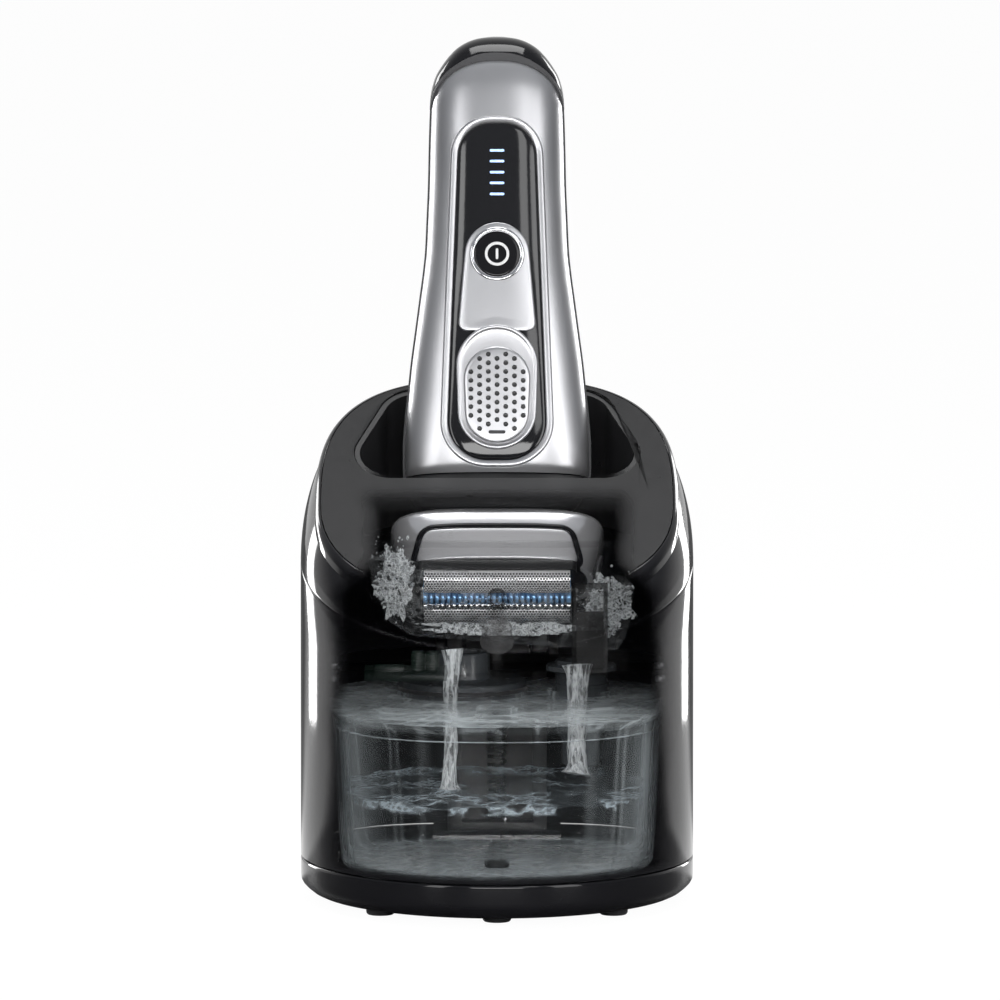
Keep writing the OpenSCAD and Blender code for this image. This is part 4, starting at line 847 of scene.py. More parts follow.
def overflowPipe(bm):
    spunPiece(bm, [(5.0, 65.5), (7.1, 65.5), (7.4, 65.2), (7.4, 64.3), (9.7, 64.1), (10, 63.8), (10, 62.8),
                   (9.7, 62.55), (7.4, 62.55), (7.4, 46.2), (7.1, 45.6), (5.8, 43.6), (5.6, 43), (5.6, 36.2),
                   (5.4, 36.0), (4.6, 36.0), (4.4, 36.2), (4.4, 44), (5.0, 48)], bowl["overflow"], 64)
    for z in (58.5, 54.0, 49.5):  # ribs
        spunPiece(bm, [(7.3, z - 0.6), (7.8, z - 0.4), (7.8, z + 0.4), (7.3, z + 0.6)], bowl["overflow"], 64)


for builder, name, slotName, finish, node in (
        (drainFunnel, "drainFunnel", "duct_grey", "duct", "drain_funnel"),
        (drainSeal, "drainSeal", "rubber_grey", "rubber", "drain_seal"),
        (overflowPipe, "overflowPipe", "duct_grey", "duct", "overflow_pipe")):
    shaped(builder, name, bodyOf[node], slotName, finish, [node], edge=0, sharp=40)

innerParts = {
    "rubber_feet": ("rubber", 0.3), "guide_column": ("black", 0.4), "column_screws": ("steel", 0.15),
    "power_inlet": ("inlet", 0.15), "chassis": ("deck", 0.3), "chassis_screws": ("steel", 0.12),
    "lift_spring": ("steel", 0), "pump_tube": ("pump", 0.15), "pump_hose": ("pump", 0),
    "pump_motor": ("pump", 0.5), "pump_impeller": ("pump", 0), "fan_housing": ("fan", 0.3),
    "fan_rotor": ("fan", 0.12), "circuit_board": ("board", 0.1), "start_button": ("charcoal", 0.35),
    "lift_button": ("gloss", 0.6), "latch_rocker": ("black", 0.25), "latch_pin": ("steel", 0.1),
    "contact_pins": ("gold", 0.2)}
for node, (finish, edge) in innerParts.items():
    reworked(node, finish, edge=edge)
print("works made")


# The shaver's handle, in the dock's frame: the head's pivot at 0, the top end up, the display in front.
handle = {"wall": 1.6, "low": 17.5, "end": 136, "capFoot": 138.6, "power": 2.5}
halfWidths = [(17, 26.2), (20, 26.5), (26, 26.5), (34, 26), (42, 25.2), (50, 24.4), (57, 23.5), (63, 22.7),
              (70, 21.8), (76, 21), (83, 20.3), (92, 19.9), (102, 19.5), (112, 19.3), (122, 19), (128, 18.6),
              (132.5, 17.5), (136, 15.6), (138.5, 13.8), (140.5, 12.1), (142.5, 9.4), (143.8, 6.4), (144.5, 3)]
frontDepths = [(17, 10), (20, 11.6), (26, 12.6), (42, 13), (63, 13), (83, 12.8), (112, 12.2), (122, 11.8),
               (128, 11.4), (132.5, 10.6), (136, 9.5), (138.5, 8.4), (140.5, 7.1), (142.5, 5.2), (143.8, 3.3),
               (144.5, 1.5)]
backDepths = [(17, 8.6), (20, 10), (26, 11.4), (34, 11.9), (112, 12), (122, 11.8)] + frontDepths[8:]


def curveAt(table, z):  # smooth reading between the table's rows
    z = min(max(z, table[0][0]), table[-1][0])
    i = max(k for k in range(len(table) - 1) if table[k][0] <= z)
    (x0, y0), (x1, y1) = table[i], table[i + 1]

    def slope(k):
        if k <= 0 or k >= len(table) - 1:
            k = min(max(k, 1), len(table) - 1)
            return (table[k][1] - table[k - 1][1]) / (table[k][0] - table[k - 1][0])
        a = (table[k][1] - table[k - 1][1]) / (table[k][0] - table[k - 1][0])
        b = (table[k + 1][1] - table[k][1]) / (table[k + 1][0] - table[k][0])
        return 0 if a * b <= 0 else 2 * a * b / (a + b)
    h, t = x1 - x0, (z - x0) / (x1 - x0)
    return ((1 + 2 * t) * (1 - t) ** 2 * y0 + t * (1 - t) ** 2 * h * slope(i)
            + t * t * (3 - 2 * t) * y1 + t * t * (t - 1) * h * slope(i + 1))


def skinPoint(t, z, sink=0.0):  # a point of the handle's skin at angle t round its section
    w = curveAt(halfWidths, z) - sink
    d = curveAt(frontDepths if math.sin(t) < 0 else backDepths, z) - sink
    return (w * power(math.cos(t), handle["power"]), d * power(math.sin(t), handle["power"]), z)


def skinAngle(x, z, sink=0.0):  # the angle, in the front half, at which the skin stands at x
    w = curveAt(halfWidths, z) - sink
    c = math.copysign(min(1, abs(x) / w) ** (handle["power"] / 2), x)
    return 2 * math.pi - math.acos(max(-1, min(1, c)))


def skinAt(x, z, sink=0.0):
    return skinPoint(skinAngle(x, z, sink), z, sink)


insert = {"top": 117.4, "low": 21, "narrow": 10.9, "wide": 13.7, "rim": 2.1, "spine": (34, 106)}
arch = {"height": 13.5, "band": 2.5, "from": 119.6}


def insertOutline(grow, n=24):
    s = insert
    return rounded([(-s["wide"] + 11, s["low"] + 11, 11), (s["wide"] - 11, s["low"] + 11, 11),
                    (s["narrow"] - 9, s["top"] - 9, 9), (-s["narrow"] + 9, s["top"] - 9, 9)], grow, n)


def onSkin(outline, sink):
    return [skinAt(x, z, sink) for x, z in outline]


def archDrop(t):  # how far the metal front's top edge has come down at angle t
    return arch["height"] * (1 - abs(math.sin(t)) ** 0.9)


def handleFront(bm):
    # The metal front is one sheet between the display's opening and the shell's own edge.
    low, high, n = handle["low"] + 0.05, handle["end"] - 0.05, 192
    gap, front, tall, tiny = 0.02, 1.5 * math.pi, 40, 1e-6
    inner = [(skinAngle(x, z, 0.5), z) for x, z in resampled(insertOutline(insert["rim"] + 0.1), n)]
    outer = []
    for t, z in inner:  # each opening point's partner on the shell's edge, seen from the opening's middle line
        cz = min(max(z, insert["spine"][0]), insert["spine"][1])
        dt, dz = t - front, (z - cz) / tall
        scale = 1e9
        if abs(dt) > tiny:
            scale = min(scale, (math.pi / 2 - gap) / abs(dt))
        if dz > tiny:
            scale = min(scale, (high - cz) / tall / dz)
        if dz < -tiny:
            scale = min(scale, (low - cz) / tall / dz)
        outer.append((front + dt * scale, cz + dz * tall * scale))
    left, right = math.pi + gap, 2 * math.pi - gap
    for corner in ((left, low), (right, low), (right, high), (left, high)):
        i = min(range(n), key=lambda k: abs(outer[k][0] - corner[0]) * tall + abs(outer[k][1] - corner[1]))
        outer[i] = corner
    rings = []
    for k in range(17):
        share = k / 16
        ring = [(a[0] + (b[0] - a[0]) * share, a[1] + (b[1] - a[1]) * share) for a, b in zip(inner, outer)]
        rings.append([skinPoint(t, z - archDrop(t) * max(0, (z - arch["from"]) / (high - arch["from"])), 0.5)
                      for t, z in ring])
    loft(bm, rings, low=False, high=False)
    bmesh.ops.recalc_face_normals(bm, faces=bm.faces)


def handleBack(bm):
    heights = [17.55 + 2.45 * i / 4 for i in range(4)] + [20 + 102 * i / 34 for i in range(35)]
    heights += [122 + 13.95 * i / 10 for i in range(1, 11)]
    sheetOf(bm, [[skinPoint(math.pi * k / 64, z) for k in range(65)] for z in heights])


def thickened(piece, depth, edge):  # wall and softened edges for an open sheet
    wall = piece.modifiers.new("wall", "SOLIDIFY")
    wall.thickness, wall.offset = depth * 0.001, -1
    bevel = piece.modifiers.new("softEdge", "BEVEL")
    bevel.width, bevel.segments, bevel.limit_method = edge * 0.001, 2, "ANGLE"
    bevel.angle_limit, bevel.harden_normals = math.radians(35), True


def outwards(bm):  # faces of an open sheet turned away from the handle's axis
    bm.normal_update()
    for face in bm.faces:
        away = face.calc_center_median()
        away.z = 0
        if face.normal.dot(away) < 0:
            face.normal_flip()


def skinRing(z, sink=0.0, n=96):
    return [skinPoint(2 * math.pi * k / n, z, sink) for k in range(n)]


def gasket(bm):
    # The band under the end cap, and a dark line down each side between the two shells.
    z0, z1 = handle["end"] + 0.05, handle["capFoot"] - 0.1
    sink = [(0.25, 0), (0.05, 0.12), (0, 0.35)]
    rings = [skinRing(z0 + up, s) for s, up in sink] + [skinRing(z1 - up, s) for s, up in sink[::-1]]
    loft(bm, rings + [skinRing(z1, handle["wall"]), skinRing(z0, handle["wall"])], close=True)
    half, steps = 0.6, 80
    section = [(handle["wall"], -half), (0.12, -half), (0.0, -half + 0.15),
               (0.0, half - 0.15), (0.12, half), (handle["wall"], half)]
    for side in (1, -1):
        rows = []
        for z in (handle["low"] + i * (handle["end"] - handle["low"]) / steps for i in range(steps + 1)):
            w = curveAt(halfWidths, z)
            rows.append([(side * (w - deep), y, z) for deep, y in section])
        loft(bm, rows)


def archStrip(low, high, sink):
    # A strip on the handle's front, from one height to another, that follows the arch.
    def build(bm):
        rows = []
        for k in range(9):
            row = []
            for i in range(97):
                t = math.pi * (1 + i / 96)
                a, b = low(t), high(t)
                row.append(skinPoint(t, a + (max(b, a + 0.05) - a) * k / 8, sink))
            rows.append(row)
        sheetOf(bm, rows)
    return build


def archFoot(t):
    return handle["end"] - archDrop(t)


def bandHead(t):  # the top of the grey band, which is narrower at the handle's sides
    return archFoot(t) + arch["band"] * (0.45 + 0.55 * abs(math.sin(t)))


capBand = archStrip(lambda t: archFoot(t) + 0.05, bandHead, 0.0)
capShoulder = archStrip(lambda t: bandHead(t) + 0.05, lambda t: handle["capFoot"] + 0.1, -0.08)


def endCap(bm):
    foot = handle["capFoot"]
    rings = [skinRing(foot, handle["wall"]), skinRing(foot, 0.2)]
    for z in (foot + 0.15, 139.2, 140, 140.8, 141.6, 142.3, 142.9, 143.4, 143.8, 144.1, 144.32, 144.45, 144.5):
        rings.append(skinRing(z))
    last = rings[-1]
    for share in (0.6, 0.25):
        rings.append([(x * share, y * share, z + 0.02 * (1 - share)) for x, y, z in last])
    loft(bm, rings)


for builder, name, slotName, finish, nodes, wall, edge in (
        (handleFront, "handleFront", "satin_silver", "satin", ["handle_front"], handle["wall"], 0.25),
        (handleBack, "handleBack", "grip_black", "grip", ["handle_back"], handle["wall"], 0.3),
        (gasket, "handleGasket", "rubber_grey", "gasket", ["handle_gasket"], 0, 0),
        (capBand, "capBand", "rubber_grey", "gasket", (), 1.2, 0.1),
        (capShoulder, "capShoulder", "gloss_black", "gloss", (), 1.2, 0.1),
        (endCap, "endCap", "gloss_black", "gloss", ["end_cap"], 0, 0)):
    made = bmesh.new()
    builder(made)
    if wall:
        outwards(made)
    piece = finished(made, name, "shaver", slotName, finish, nodes, toDock, 0, tidy=not wall)
    if wall:
        thickened(piece, wall, edge)
print("handle made")


# The insert in the handle's front.
keys = {"plateLow": 57.6, "plateW": 10.9, "buttonZ": 79.7, "buttonR": 7.8, "sliderLow": 25.2, "sliderHigh": 53.1,
        "sliderW": 9.5, "lightZ": (97, 100.2, 103.3, 106.5, 109.6), "lightW": 4.3,
        "dimpleStep": 2.45, "dimpleRise": 2.5}


def rimRing(bm):  # bright frame, chamfered down to the black insert
    n = 160
    profile = [(2.1, 1.2), (2.1, 0.45), (1.95, 0.32), (1.6, 0.3), (1.2, 0.42), (0.6, 0.72), (0.25, 0.95),
               (0.12, 1.25), (0.12, 2.0)]
    rings = [onSkin(resampled(insertOutline(grow), n), sink) for grow, sink in profile]
    loft(bm, rings, close=True)


def patch(bm, outline, spine, sinks, high=False):
    # Rings from an outline in to its spine, a line along Z. A row is a share of the way and a depth below the skin.
    rings = []
    for share, sink in sinks:
        ring = []
        for x, z in outline:
            cz = min(max(z, spine[0]), spine[1])
            ring.append(skinAt(x * (1 - share), z + (cz - z) * share, sink))
        rings.append(ring)
    loft(bm, rings, high=high)
    bmesh.ops.remove_doubles(bm, verts=bm.verts, dist=0.02)


def windowPane(bm):
    outline = resampled(insertOutline(0.02), 160)
    sinks = [(0.0, 1.9), (0.0, 1.15), (0.02, 1.03), (0.05, 0.98), (0.12, 0.95), (0.25, 0.92), (0.4, 0.9), (0.55, 0.9),
             (0.7, 0.9), (0.85, 0.9), (0.96, 0.9), (1.0, 0.9)]
    patch(bm, outline, insert["spine"], sinks)


def plateOutline(grow, n=16):
    w, low, r, z = keys["plateW"], keys["plateLow"], keys["buttonR"], keys["buttonZ"]
    return rounded([(-w + 2.5, low + 2.5, 2.5), (w - 2.5, low + 2.5, 2.5), (0, z, r + 1.4)], grow, n)


def buttonPlate(bm):  # bright plate under the power button, softly dished towards it
    outline = resampled(plateOutline(-0.05), 128)
    patch(bm, outline, (62, 81), [(0.0, 1.7), (0.0, 0.95), (0.02, 0.78), (0.05, 0.7), (0.2, 0.68), (0.4, 0.7),
                                  (0.6, 0.74), (0.8, 0.78), (0.95, 0.8), (1.0, 0.8)])


def roundOnSkin(profile, x0, z0, n=72):  # rings round a middle: (radius, depth below the skin)
    turns = [2 * math.pi * k / n for k in range(n)]
    return [[skinAt(x0 + r * math.cos(a), z0 + r * math.sin(a), sink) for a in turns] for r, sink in profile]


def powerCap(bm):  # domed black key inside its polished ring
    loft(bm, roundOnSkin([(6.55, 2.2), (6.55, 0.75), (6.4, 0.58), (6.0, 0.5), (5.0, 0.52), (4.0, 0.58), (3.0, 0.64),
                          (2.0, 0.68), (1.0, 0.7)], 0, keys["buttonZ"]))


def powerRing(bm):
    loft(bm, roundOnSkin([(7.75, 1.6), (7.75, 0.6), (7.6, 0.42), (7.3, 0.34), (6.95, 0.36), (6.7, 0.5), (6.65, 1.6)],
                         0, keys["buttonZ"]), close=True)


def powerSign(bm):  # the usual sign of a power key: a ring with an upright bar in it
    z = keys["buttonZ"]
    loft(bm, roundOnSkin([(3.45, 0.7), (3.43, 0.4), (3.35, 0.34), (2.75, 0.34), (2.68, 0.4), (2.65, 0.7)], 0, z, 64),
         close=True)
    bar = rounded([(0, z - 1.2, 0.36), (0, z + 1.2, 0.36)], 0, 8)
    loft(bm, [onSkin(bar, 0.75), onSkin(bar, 0.4), onSkin([(x * 0.8, z + (b - z) * 0.97) for x, b in bar], 0.34)])


def chargeBars(bm):
    w = keys["lightW"] / 2
    for z in keys["lightZ"]:
        bar = rounded([(-w + 0.45, z, 0.45), (w - 0.45, z, 0.45)], -0.1, 8)
        loft(bm, [onSkin(bar, 1.2), onSkin(bar, 0.88), onSkin([(x * 0.96, z + (b - z) * 0.8) for x, b in bar], 0.84)])


def sliderOutline(grow, n=24):
    w = keys["sliderW"]
    return rounded([(0, keys["sliderLow"] + w - 0.4, w - 0.4), (0, keys["sliderHigh"] - w, w)], grow, n)


def dimpleRows():  # middles of the lock slider's dimples: seven staggered columns inside its oval
    spots, low, high = [], keys["sliderLow"] + 9.1, keys["sliderHigh"] - 9.5
    for i in range(-3, 4):
        for j in range(-5, 6):
            x, z = i * keys["dimpleStep"], 39.4 + (j + (0.5 if i % 2 else 0)) * keys["dimpleRise"]
            if math.hypot(x, z - min(max(z, low), high)) < 8.0 and not (abs(x) < 3 and z < 29.5):
                spots.append((x, z))
    return spots


def lockSlider(bm):
    outline = resampled(sliderOutline(-0.1), 120)
    patch(bm, outline, (34.8, 43.1), [(0.0, 0.55), (0.0, 0.0), (0.015, -0.25), (0.05, -0.42), (0.12, -0.5),
                                      (0.3, -0.5), (0.5, -0.5), (0.7, -0.5), (0.85, -0.5)], high=True)


def dimpleDrill(bm):
    facing = Matrix.Rotation(math.radians(-90), 4, "X")
    for x, z in dimpleRows():
        bmesh.ops.create_cone(bm, cap_ends=True, segments=14, radius1=0.76, radius2=0.66, depth=1.0,
                              matrix=Matrix.Translation(skinAt(x, z, -0.35)) @ facing)


def dimpleShadeDiscs(bm):  # a near-black disc in each dimple: painted shade in its hollow
    for x, z in dimpleRows():
        loft(bm, roundOnSkin([(0.74, -0.2), (0.6, -0.12), (0.3, -0.1)], x, z, 12), low=False)


def thumbCup(bm):
    # Bright cup that the slider runs in: its rim, and the dished floor that shows above the slider.
    low, high = keys["sliderLow"] + 9.6, keys["sliderHigh"] - 5.2
    outline = resampled(rounded([(0, low, 9.6), (0, high, 10)], 1.5, 24), 128)
    patch(bm, outline, (low, high), [(0.0, 1.6), (0.0, 0.75), (0.01, 0.5), (0.03, 0.36), (0.06, 0.34), (0.085, 0.44),
                                     (0.1, 0.6), (0.13, 0.72), (0.2, 0.8), (0.45, 0.84), (0.7, 0.84), (1.0, 0.84)])


# A near-black patch on the lock slider's face where its slot is: painted shade, with no slot cut.
def slotShadePatch(bm):
    slot = rounded([(-1.9, 28.4, 0.5), (1.9, 28.4, 0.5)], 0, 8)
    loft(bm, [onSkin(slot, -0.3), onSkin(slot, -0.53)])


for builder, name, body, slotName, finish, nodes in (
        (rimRing, "trimFrame", "shaver", "chrome", "satin", ["trim_frame"]),
        (windowPane, "displayWindow", "shaver", "display_black", "glass", ["display_window"]),
        (buttonPlate, "buttonPlate", "shaver", "chrome", "satin", ["button_plate"]),
        (powerCap, "powerKey", "power_key", "chrome", "gloss", ["power_button"]),
        (powerRing, "powerRing", "shaver", "chrome", "chrome", ()),
        (powerSign, "powerSign", "power_key", "chrome", "sign", ()),
        (chargeBars, "chargeLights", "shaver", "light_blue", "lit", ["charge_lights"]),
        (thumbCup, "thumbCup", "shaver", "chrome", "satin", ()),
        (lockSlider, "lockSlider", "lock", "satin_silver", "satin", ["head_lock_slider"]),
        # Near-black discs in the slider's dimples: painted shade.
        (dimpleShadeDiscs, "dimpleShadeDiscs", "lock", "satin_silver", "well", ()),
        (slotShadePatch, "slotShadePatch", "lock", "satin_silver", "well", ())):
    made = bmesh.new()
    builder(made)
    if name == "lockSlider":
        made = bored(made, dimpleDrill, Matrix())
    finished(made, name, body, slotName, finish, nodes, toDock, 0, 50)
print("insert made")


# The shaving head, in its own swivelled frame.
headRows = [(-15, 26.8, 12.7, 11.2), (-10, 28.4, 12.9, 11.3), (-4, 29.6, 13, 11.2), (1, 30, 12.4, 10.4),
            (3.2, 29, 11.2, 9.2), (4.6, 26.5, 9.4, 7.8)]
head = {"power": 3.2, "coverW": 24, "coverLow": -14.2, "coverHigh": -4.4, "foilR": 3.7, "foilL": 41, "foilZ": -18.8}


def headPoint(t, z, sink=0.0):
    column = lambda i: curveAt([(row[0], row[i]) for row in headRows], z) - sink
    d = column(2) if math.sin(t) < 0 else column(3)
    return (column(1) * power(math.cos(t), head["power"]), d * power(math.sin(t), head["power"]), z)


def headAt(x, z, sink=0.0):
    w = curveAt([(row[0], row[1]) for row in headRows], z) - sink
    c = math.copysign(min(1, abs(x) / w) ** (head["power"] / 2), x)
    return headPoint(2 * math.pi - math.acos(max(-1, min(1, c))), z, sink)


def coverOutline(grow, n=12):
    w, low, high = head["coverW"], head["coverLow"] + 1.5, head["coverHigh"] - 3
    return rounded([(-w + 3, low, 1.5), (w - 3, low, 1.5), (w - 6, high, 3), (-w + 6, high, 3)], grow, n)


def headYoke(bm):
    # Bright yoke round the head: its front lies round the band, its crown rolls over to the handle.
    foot, top, wall = -14.9, 4.6, 1.6
    levels = [(foot, 1.5), (foot, 0.25)]
    levels += [(z, 0.0) for z in (-14.7, -14, -13, -12, -11, -10, -8.5, -7, -5.5, -4, -2.5, -1, 0.2, 1, 1.8, 2.5, 3.2,
                                  3.8, 4.3, top)]
    levels += [(top, 0.6), (top, 1.4)] + [(z, wall) for z in (3.6, 1, -5, -10, -14)]
    turns = [2 * math.pi * (k + 0.5) / 160 for k in range(160)]
    loft(bm, [[headPoint(t, z, sink) for t in turns] for z, sink in levels], close=True)


def yokeCut(bm):  # the front opening for the plate and its band
    outline = coverOutline(1.75)
    loft(bm, [[(x, -20, z) for x, z in outline], [(x, -6, z) for x, z in outline]])


def coverPlate(bm):
    outline = resampled(coverOutline(-0.02), 128)
    rings = []
    for share, sink in ((0, 1.2), (0, 0.0), (0.03, -0.18), (0.1, -0.25), (0.3, -0.26), (0.5, -0.26), (0.7, -0.26),
                        (0.9, -0.26), (1.0, -0.26)):
        rings.append([headAt(x + (min(max(x, -18), 18) - x) * share, z + (-9.3 - z) * share, sink)
                      for x, z in outline])
    loft(bm, rings, high=False)
    bmesh.ops.remove_doubles(bm, verts=bm.verts, dist=0.02)


def bandRing(bm):  # dark arched band between the plate and the yoke
    profile = [(1.62, 0.7), (1.62, 0.1), (1.5, -0.06), (1.2, -0.12), (0.5, -0.12), (0.2, -0.02), (0.08, 0.2),
               (0.08, 0.7)]
    rings = [[headAt(x, z, sink) for x, z in resampled(coverOutline(grow), 160)] for grow, sink in profile]
    loft(bm, rings, close=True)


def foilSheet(bm, y):
    # One arched foil with its side walls, unrolled in millimetres for the pattern of its holes.
    r, half, top, wall = head["foilR"], head["foilL"] / 2, -16.9, -17.5
    turns = [math.pi * k / 28 for k in range(29)]
    section = [(y - r, top), (y - r, wall)] + [(y - r * math.cos(a), head["foilZ"] - r * math.sin(a)) for a in turns]
    section += [(y + r, wall), (y + r, top)]
    xs = [-half, -half + 0.3] + [-half + 0.6 + (head["foilL"] - 1.2) * k / 40 for k in range(41)] + [half - 0.3, half]
    rows = [[(x, a, b + (0.0 if abs(x) < half - 0.7 else 0.12)) for a, b in section] for x in xs]
    sheetOf(bm, rows)
    layer = bm.loops.layers.uv.verify()
    for face in bm.faces:
        for corner in face.loops:
            x, a, b = corner.vert.co
            angle = math.atan2(head["foilZ"] - b, y - a)
            corner[layer].uv = (x, angle * r if b < head["foilZ"] else 0)
    bm.normal_update()
    for face in bm.faces:
        middle = face.calc_center_median()
        if face.normal.dot(Vector((0, middle.y - y, min(0, middle.z - head["foilZ"])))) < 0:
            face.normal_flip()


made = bmesh.new()
headYoke(made)
made = bored(made, yokeCut, Matrix())
finished(made, "headYoke", "head", "chrome", "yoke", ["head_frame"], toHead, 0.2, 40)
shaped(coverPlate, "headPlate", "head", "satin_silver", "plate", ["head_cover"], toHead, 0, 50)
shaped(bandRing, "headBand", "head", "well_black", "gloss", ["head_band"], toHead, 0, 50)
for name, y, body, node in (("foilFront", -8.5, "front_foil", "foil_front"),
                            ("foilRear", 7.1, "rear_foil", "foil_rear")):
    made = bmesh.new()
    foilSheet(made, y)
    thickened(finished(made, name, body, "foil_steel", "foil", [node], toHead, 0, tidy=False), 0.3, 0.05)

shaverParts = {
    "foil_cassette": ("black", 0.3), "middle_trimmer": ("blue", 0.12), "skin_guard": ("chrome", 0.12),
    "cutters": ("steel", 0), "swivel_pin": ("steel", 0.1), "neck": ("black", 0.3),
    "release_button_left": ("release", 0.3), "release_button_right": ("release", 0.3), "hair_trimmer": ("grip", 0.3),
    "shaver_motor": ("motor", 0.4), "battery": ("cell", 0.3), "shaver_board": ("board", 0.1),
    "charge_contacts": ("gold", 0.2)}
for node, (finish, edge) in shaverParts.items():
    reworked(node, finish, edge=edge)
print("head made")


# Fluid on the move: the pool in the bowl, the splash round the head and the two streams.
slosh = {"level": 77.0, "left": 17, "right": 9, "middle": (3.5, 18.0), "drops": 90, "seed": 7,
         "sheets": (((-28.5, 1.5, 88), (5.4, 1.6, 11)), ((31.5, 1.5, 82), (6.6, 1.6, 8.5)),
                    ((4, -0.3, 75.5), (25, 0.9, 2.2)))}


def sloshHeight(x, y):
    # The pool climbs the bowl's two ends, and its face is rough.
    left, right = min(1, max(0, (-x - 17) / 9)), min(1, max(0, (x - 25) / 8))
    rough = mnoise.noise(Vector((x * 0.22, y * 0.22, 4.0))) * 2.2
    rough += mnoise.noise(Vector((x * 0.6, y * 0.6, 9.0))) * 1.1
    climb = slosh["left"] * left * left * (3 - 2 * left)
    return slosh["level"] + climb + slosh["right"] * right * right * (3 - 2 * right) + rough


def bowlPool(bm):
    walls = bowlRings(-0.5)
    columns = []
    for i in range(len(walls[0])):
        line = [ring[i] for ring in walls]
        foot, top = line[2], line[-1]
        for a, b in zip(line[2:], line[3:]):
            high = sloshHeight(b[0], b[1])
            if b[2] >= high:
                share = min(1, max(0, (high - a[2]) / max(1e-6, b[2] - a[2])))
                top = tuple(a[k] + (b[k] - a[k]) * share for k in range(3))
                break
        columns.append((line, foot, top))
    rings = [[c[0][0] for c in columns], [c[0][1] for c in columns], [c[1] for c in columns]]
    for k in range(1, 6):
        ring = []
        for line, foot, top in columns:
            z = foot[2] + (top[2] - foot[2]) * k / 5
            for a, b in zip(line[2:], line[3:]):
                if b[2] >= z - 1e-9:
                    share = (z - a[2]) / max(1e-6, b[2] - a[2])
                    ring.append(tuple(a[j] + (b[j] - a[j]) * min(1, max(0, share)) for j in range(3)))
                    break
            else:
                ring.append(top)
        rings.append(ring)
    mx, my = slosh["middle"]
    for share in (0.95, 0.88, 0.8, 0.72, 0.64, 0.56, 0.48, 0.4, 0.32, 0.24, 0.16, 0.08):
        ring = []
        for line, foot, top in columns:
            x, y = mx + (top[0] - mx) * share, my + (top[1] - my) * share
            ring.append((x, y, sloshHeight(x, y)))
        rings.append(ring)
    loft(bm, rings)


def splash(bm):
    # Torn sheets and drops thrown up at both sides of the head.
    dice = random.Random(slosh["seed"])
    for middle, size in slosh["sheets"]:
        made = bmesh.ops.create_icosphere(bm, subdivisions=5, radius=1)
        for v in made["verts"]:
            d = v.co.normalized()
            tear = mnoise.noise(d * 2.1 + Vector(middle)) * 0.5 + mnoise.noise(d * 6.0 + Vector(middle)) * 0.3
            reach = [d[k] * size[k] * (0.8 + tear * (1.0 if k != 1 else 0.4)) for k in range(3)]
            v.co = Vector(middle) + Vector(reach)
    for _ in range(slosh["drops"]):
        side = dice.random() < 0.6
        x = dice.gauss(-29, 3.2) if side else dice.gauss(31, 4.5)
        z = dice.gauss(92, 5.5) if side else dice.gauss(84, 4)
        r = 0.25 + 0.45 * dice.random() ** 2
        made = bmesh.ops.create_icosphere(bm, subdivisions=1, radius=r)
        where = Vector((max(-35, min(37, x)), 1 + 3 * dice.random(), max(76, min(101, z))))
        for v in made["verts"]:
            v.co = Vector((v.co.x, v.co.y, v.co.z * (1 + dice.random() * 0.5))) + where


def stream(which):  # wide where it leaves the bowl and where it lands, with flutes down its length
    flow = streams[which]
    top, foot, thin = Vector(flow["top"]), Vector(flow["foot"]), flow["thin"]

    def build(bm):
        path, radii = [], []
        for i in range(49):
            share = i / 48
            bend = Vector((mnoise.noise(Vector((share * 5, which * 7.0, 0))) * 0.6, 0, 0))
            path.append(top.lerp(foot, share) + bend)
            uneven = 0.22 * mnoise.noise(Vector((share * 14, 3.0, which)))
            landing = 1.6 * math.exp(-(1 - share) * 26)
            radii.append(thin + (flow["wide"] - thin) * math.exp(-share * 9) + uneven + landing)
        tube(bm, path, radii, 24)
        for v in bm.verts:
            middle = top.lerp(foot, (v.co.z - top.z) / (foot.z - top.z))
            turn = math.atan2(v.co.y - middle.y, v.co.x - middle.x)
            flute = mnoise.noise(Vector((turn * 1.7, v.co.z * 0.22, which)))
            v.co += Vector((math.cos(turn), math.sin(turn), 0)) * 0.28 * flute
    return build


shaped(bowlPool, "bowlPool", "housing", "fluid", "bowlWater", edge=0, sharp=60)
shaped(splash, "washSplash", "housing", "fluid", "splash", edge=0, sharp=60)
for which, name in ((0, "leftStream"), (1, "rightStream")):
    piece = shaped(stream(which), name, None, "fluid", "stream", edge=0, sharp=70)
    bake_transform(piece)
print("fluid made")


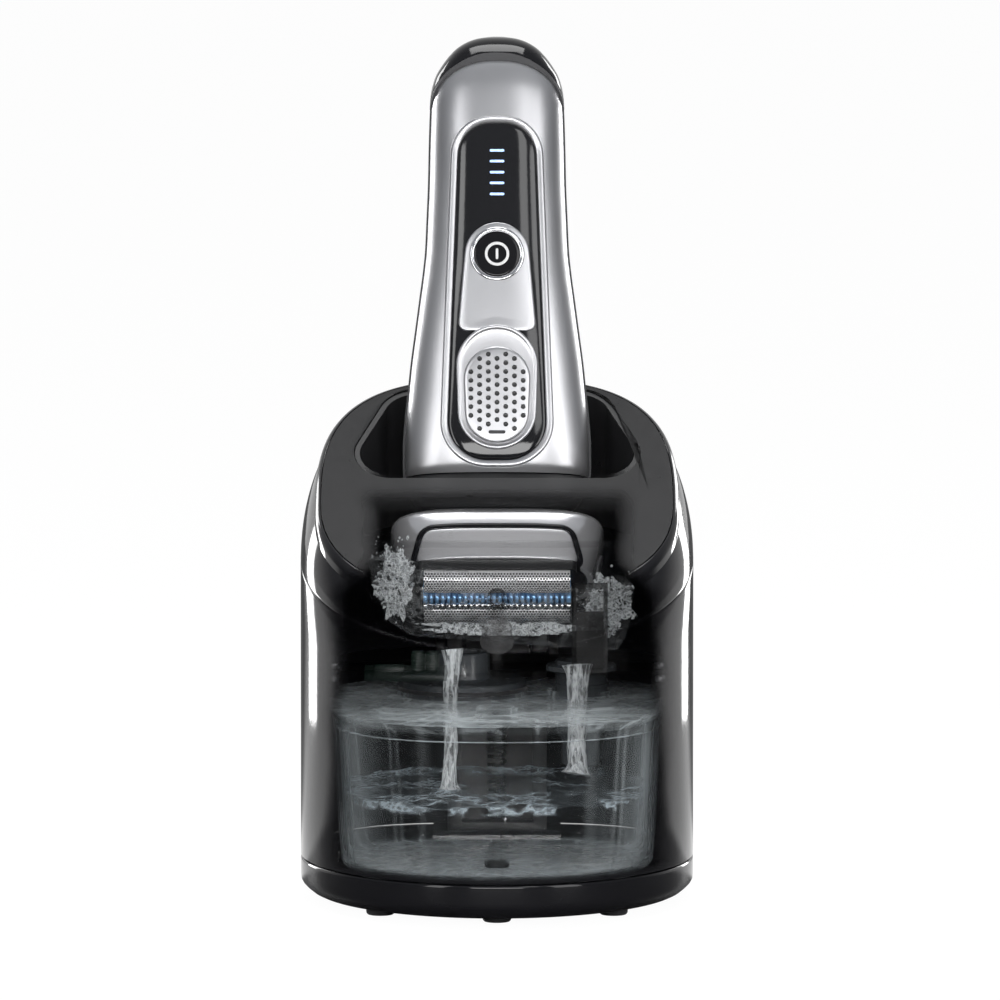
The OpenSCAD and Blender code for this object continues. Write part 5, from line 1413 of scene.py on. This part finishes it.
# The stage.
def backdrop():
    # Pale floor, white to the camera, with a soft shadow. Gloss and glass see it white beside the object only.
    bm = bmesh.new()
    bmesh.ops.create_grid(bm, x_segments=1, y_segments=1, size=3.0)
    mesh = bpy.data.meshes.new("floor")
    bm.to_mesh(mesh)
    bm.free()
    floor = bpy.data.objects.new("floor", mesh)
    bpy.context.scene.collection.objects.link(floor)
    paint = Paint("floorWhite", (0.86, 0.86, 0.86), 0.6)
    rays, mirrored, through = paint.rayKinds()
    x, y = paint.axis("X"), paint.axis("Y")
    sideways = x.size() / ((x * x + y * y + 1) ** 0.5)      # 1 at the object's sides, 0 behind it and before it
    behind = sideways.ease(0.4, 0.6) * sideways.ease(0.97, 0.88) * y.ease(0, 40)
    seen = mirrored.most(through)
    paint.feed("Base Color", paint.tint(seen, (0.86, 0.86, 0.86), (0.05, 0.05, 0.05)))
    glow = paint.node("ShaderNodeEmission", None, [None, 1.05])
    lit = Value(paint, paint.shader.outputs[0])
    mixed = paint.node("ShaderNodeMixShader", None, [rays.most(seen * behind) * 0.92, lit, glow])
    paint.tree.links.new(mixed.socket, paint.tree.nodes["Material Output"].inputs["Surface"])
    mesh.materials.append(paint.material)


class Sky(Paint):  # the same node helpers for the world's tree
    def __init__(self, tree):
        self.tree, self.spot, self.heights = tree, None, None


def surroundings():
    # White behind the object, for the camera and in gloss and glass, and a dim room in front of it.
    world = bpy.data.worlds.new("studio")
    bpy.context.scene.world = world
    world.use_nodes = True
    world.node_tree.nodes.clear()
    sky = Sky(world.node_tree)
    rays, mirrored, through = sky.rayKinds()
    toward = sky.node("ShaderNodeTexCoord")
    ahead, up = sky.axis("Y", toward), sky.axis("Z", toward)
    share = rays.most(mirrored.most(through) * ahead.ease(0.2, 0.9))
    dim = sky.node("ShaderNodeBackground", None, [(0.5, 0.52, 0.55, 1), mirrored * up.ease(0.0, 0.6) * 0.5 + 0.12])
    white = sky.node("ShaderNodeBackground", None, [(1, 1, 1, 1), 1.0])
    mixed = sky.node("ShaderNodeMixShader", None, [share, dim, white])
    sky.node("ShaderNodeOutputWorld", None, [mixed])


# name, place, aim, size, watts
lamps = [
    ("leftStrip", (-0.273, 0.293, 0.21), (0, 0, 0.2), (0.08, 0.42), 1.0),
    ("rightStrip", (0.24, 0.32, 0.21), (0, 0, 0.2), (0.07, 0.42), 0.9),
    ("displayGlint", (0.41, -0.88, 0.8), (0, 0, 0.18), (0.2, 0.45), 1.0),
    ("leftFront", (-0.7, -0.8, 0.45), (0, 0.02, 0.18), (0.25, 0.8), 2.9),
    ("rightFront", (0.75, -0.7, 0.4), (0, 0.02, 0.18), (0.35, 0.8), 3.5),
    ("front", (0, -1.4, 0.42), (0, 0, 0.09), (0.9, 0.4), 9),
    ("overhead", (0, 0.25, 1.2), (0, 0, 0.1), (0.7, 0.4), 6),
]
makeCamera()
backdrop()
surroundings()
for name, place, aim, size, watts in lamps:
    softBox(name, place, aim, size, watts)
bpy.context.scene.view_settings.view_transform = "Standard"
bpy.context.scene.cycles.transparent_max_bounces = 48

print("stage made")
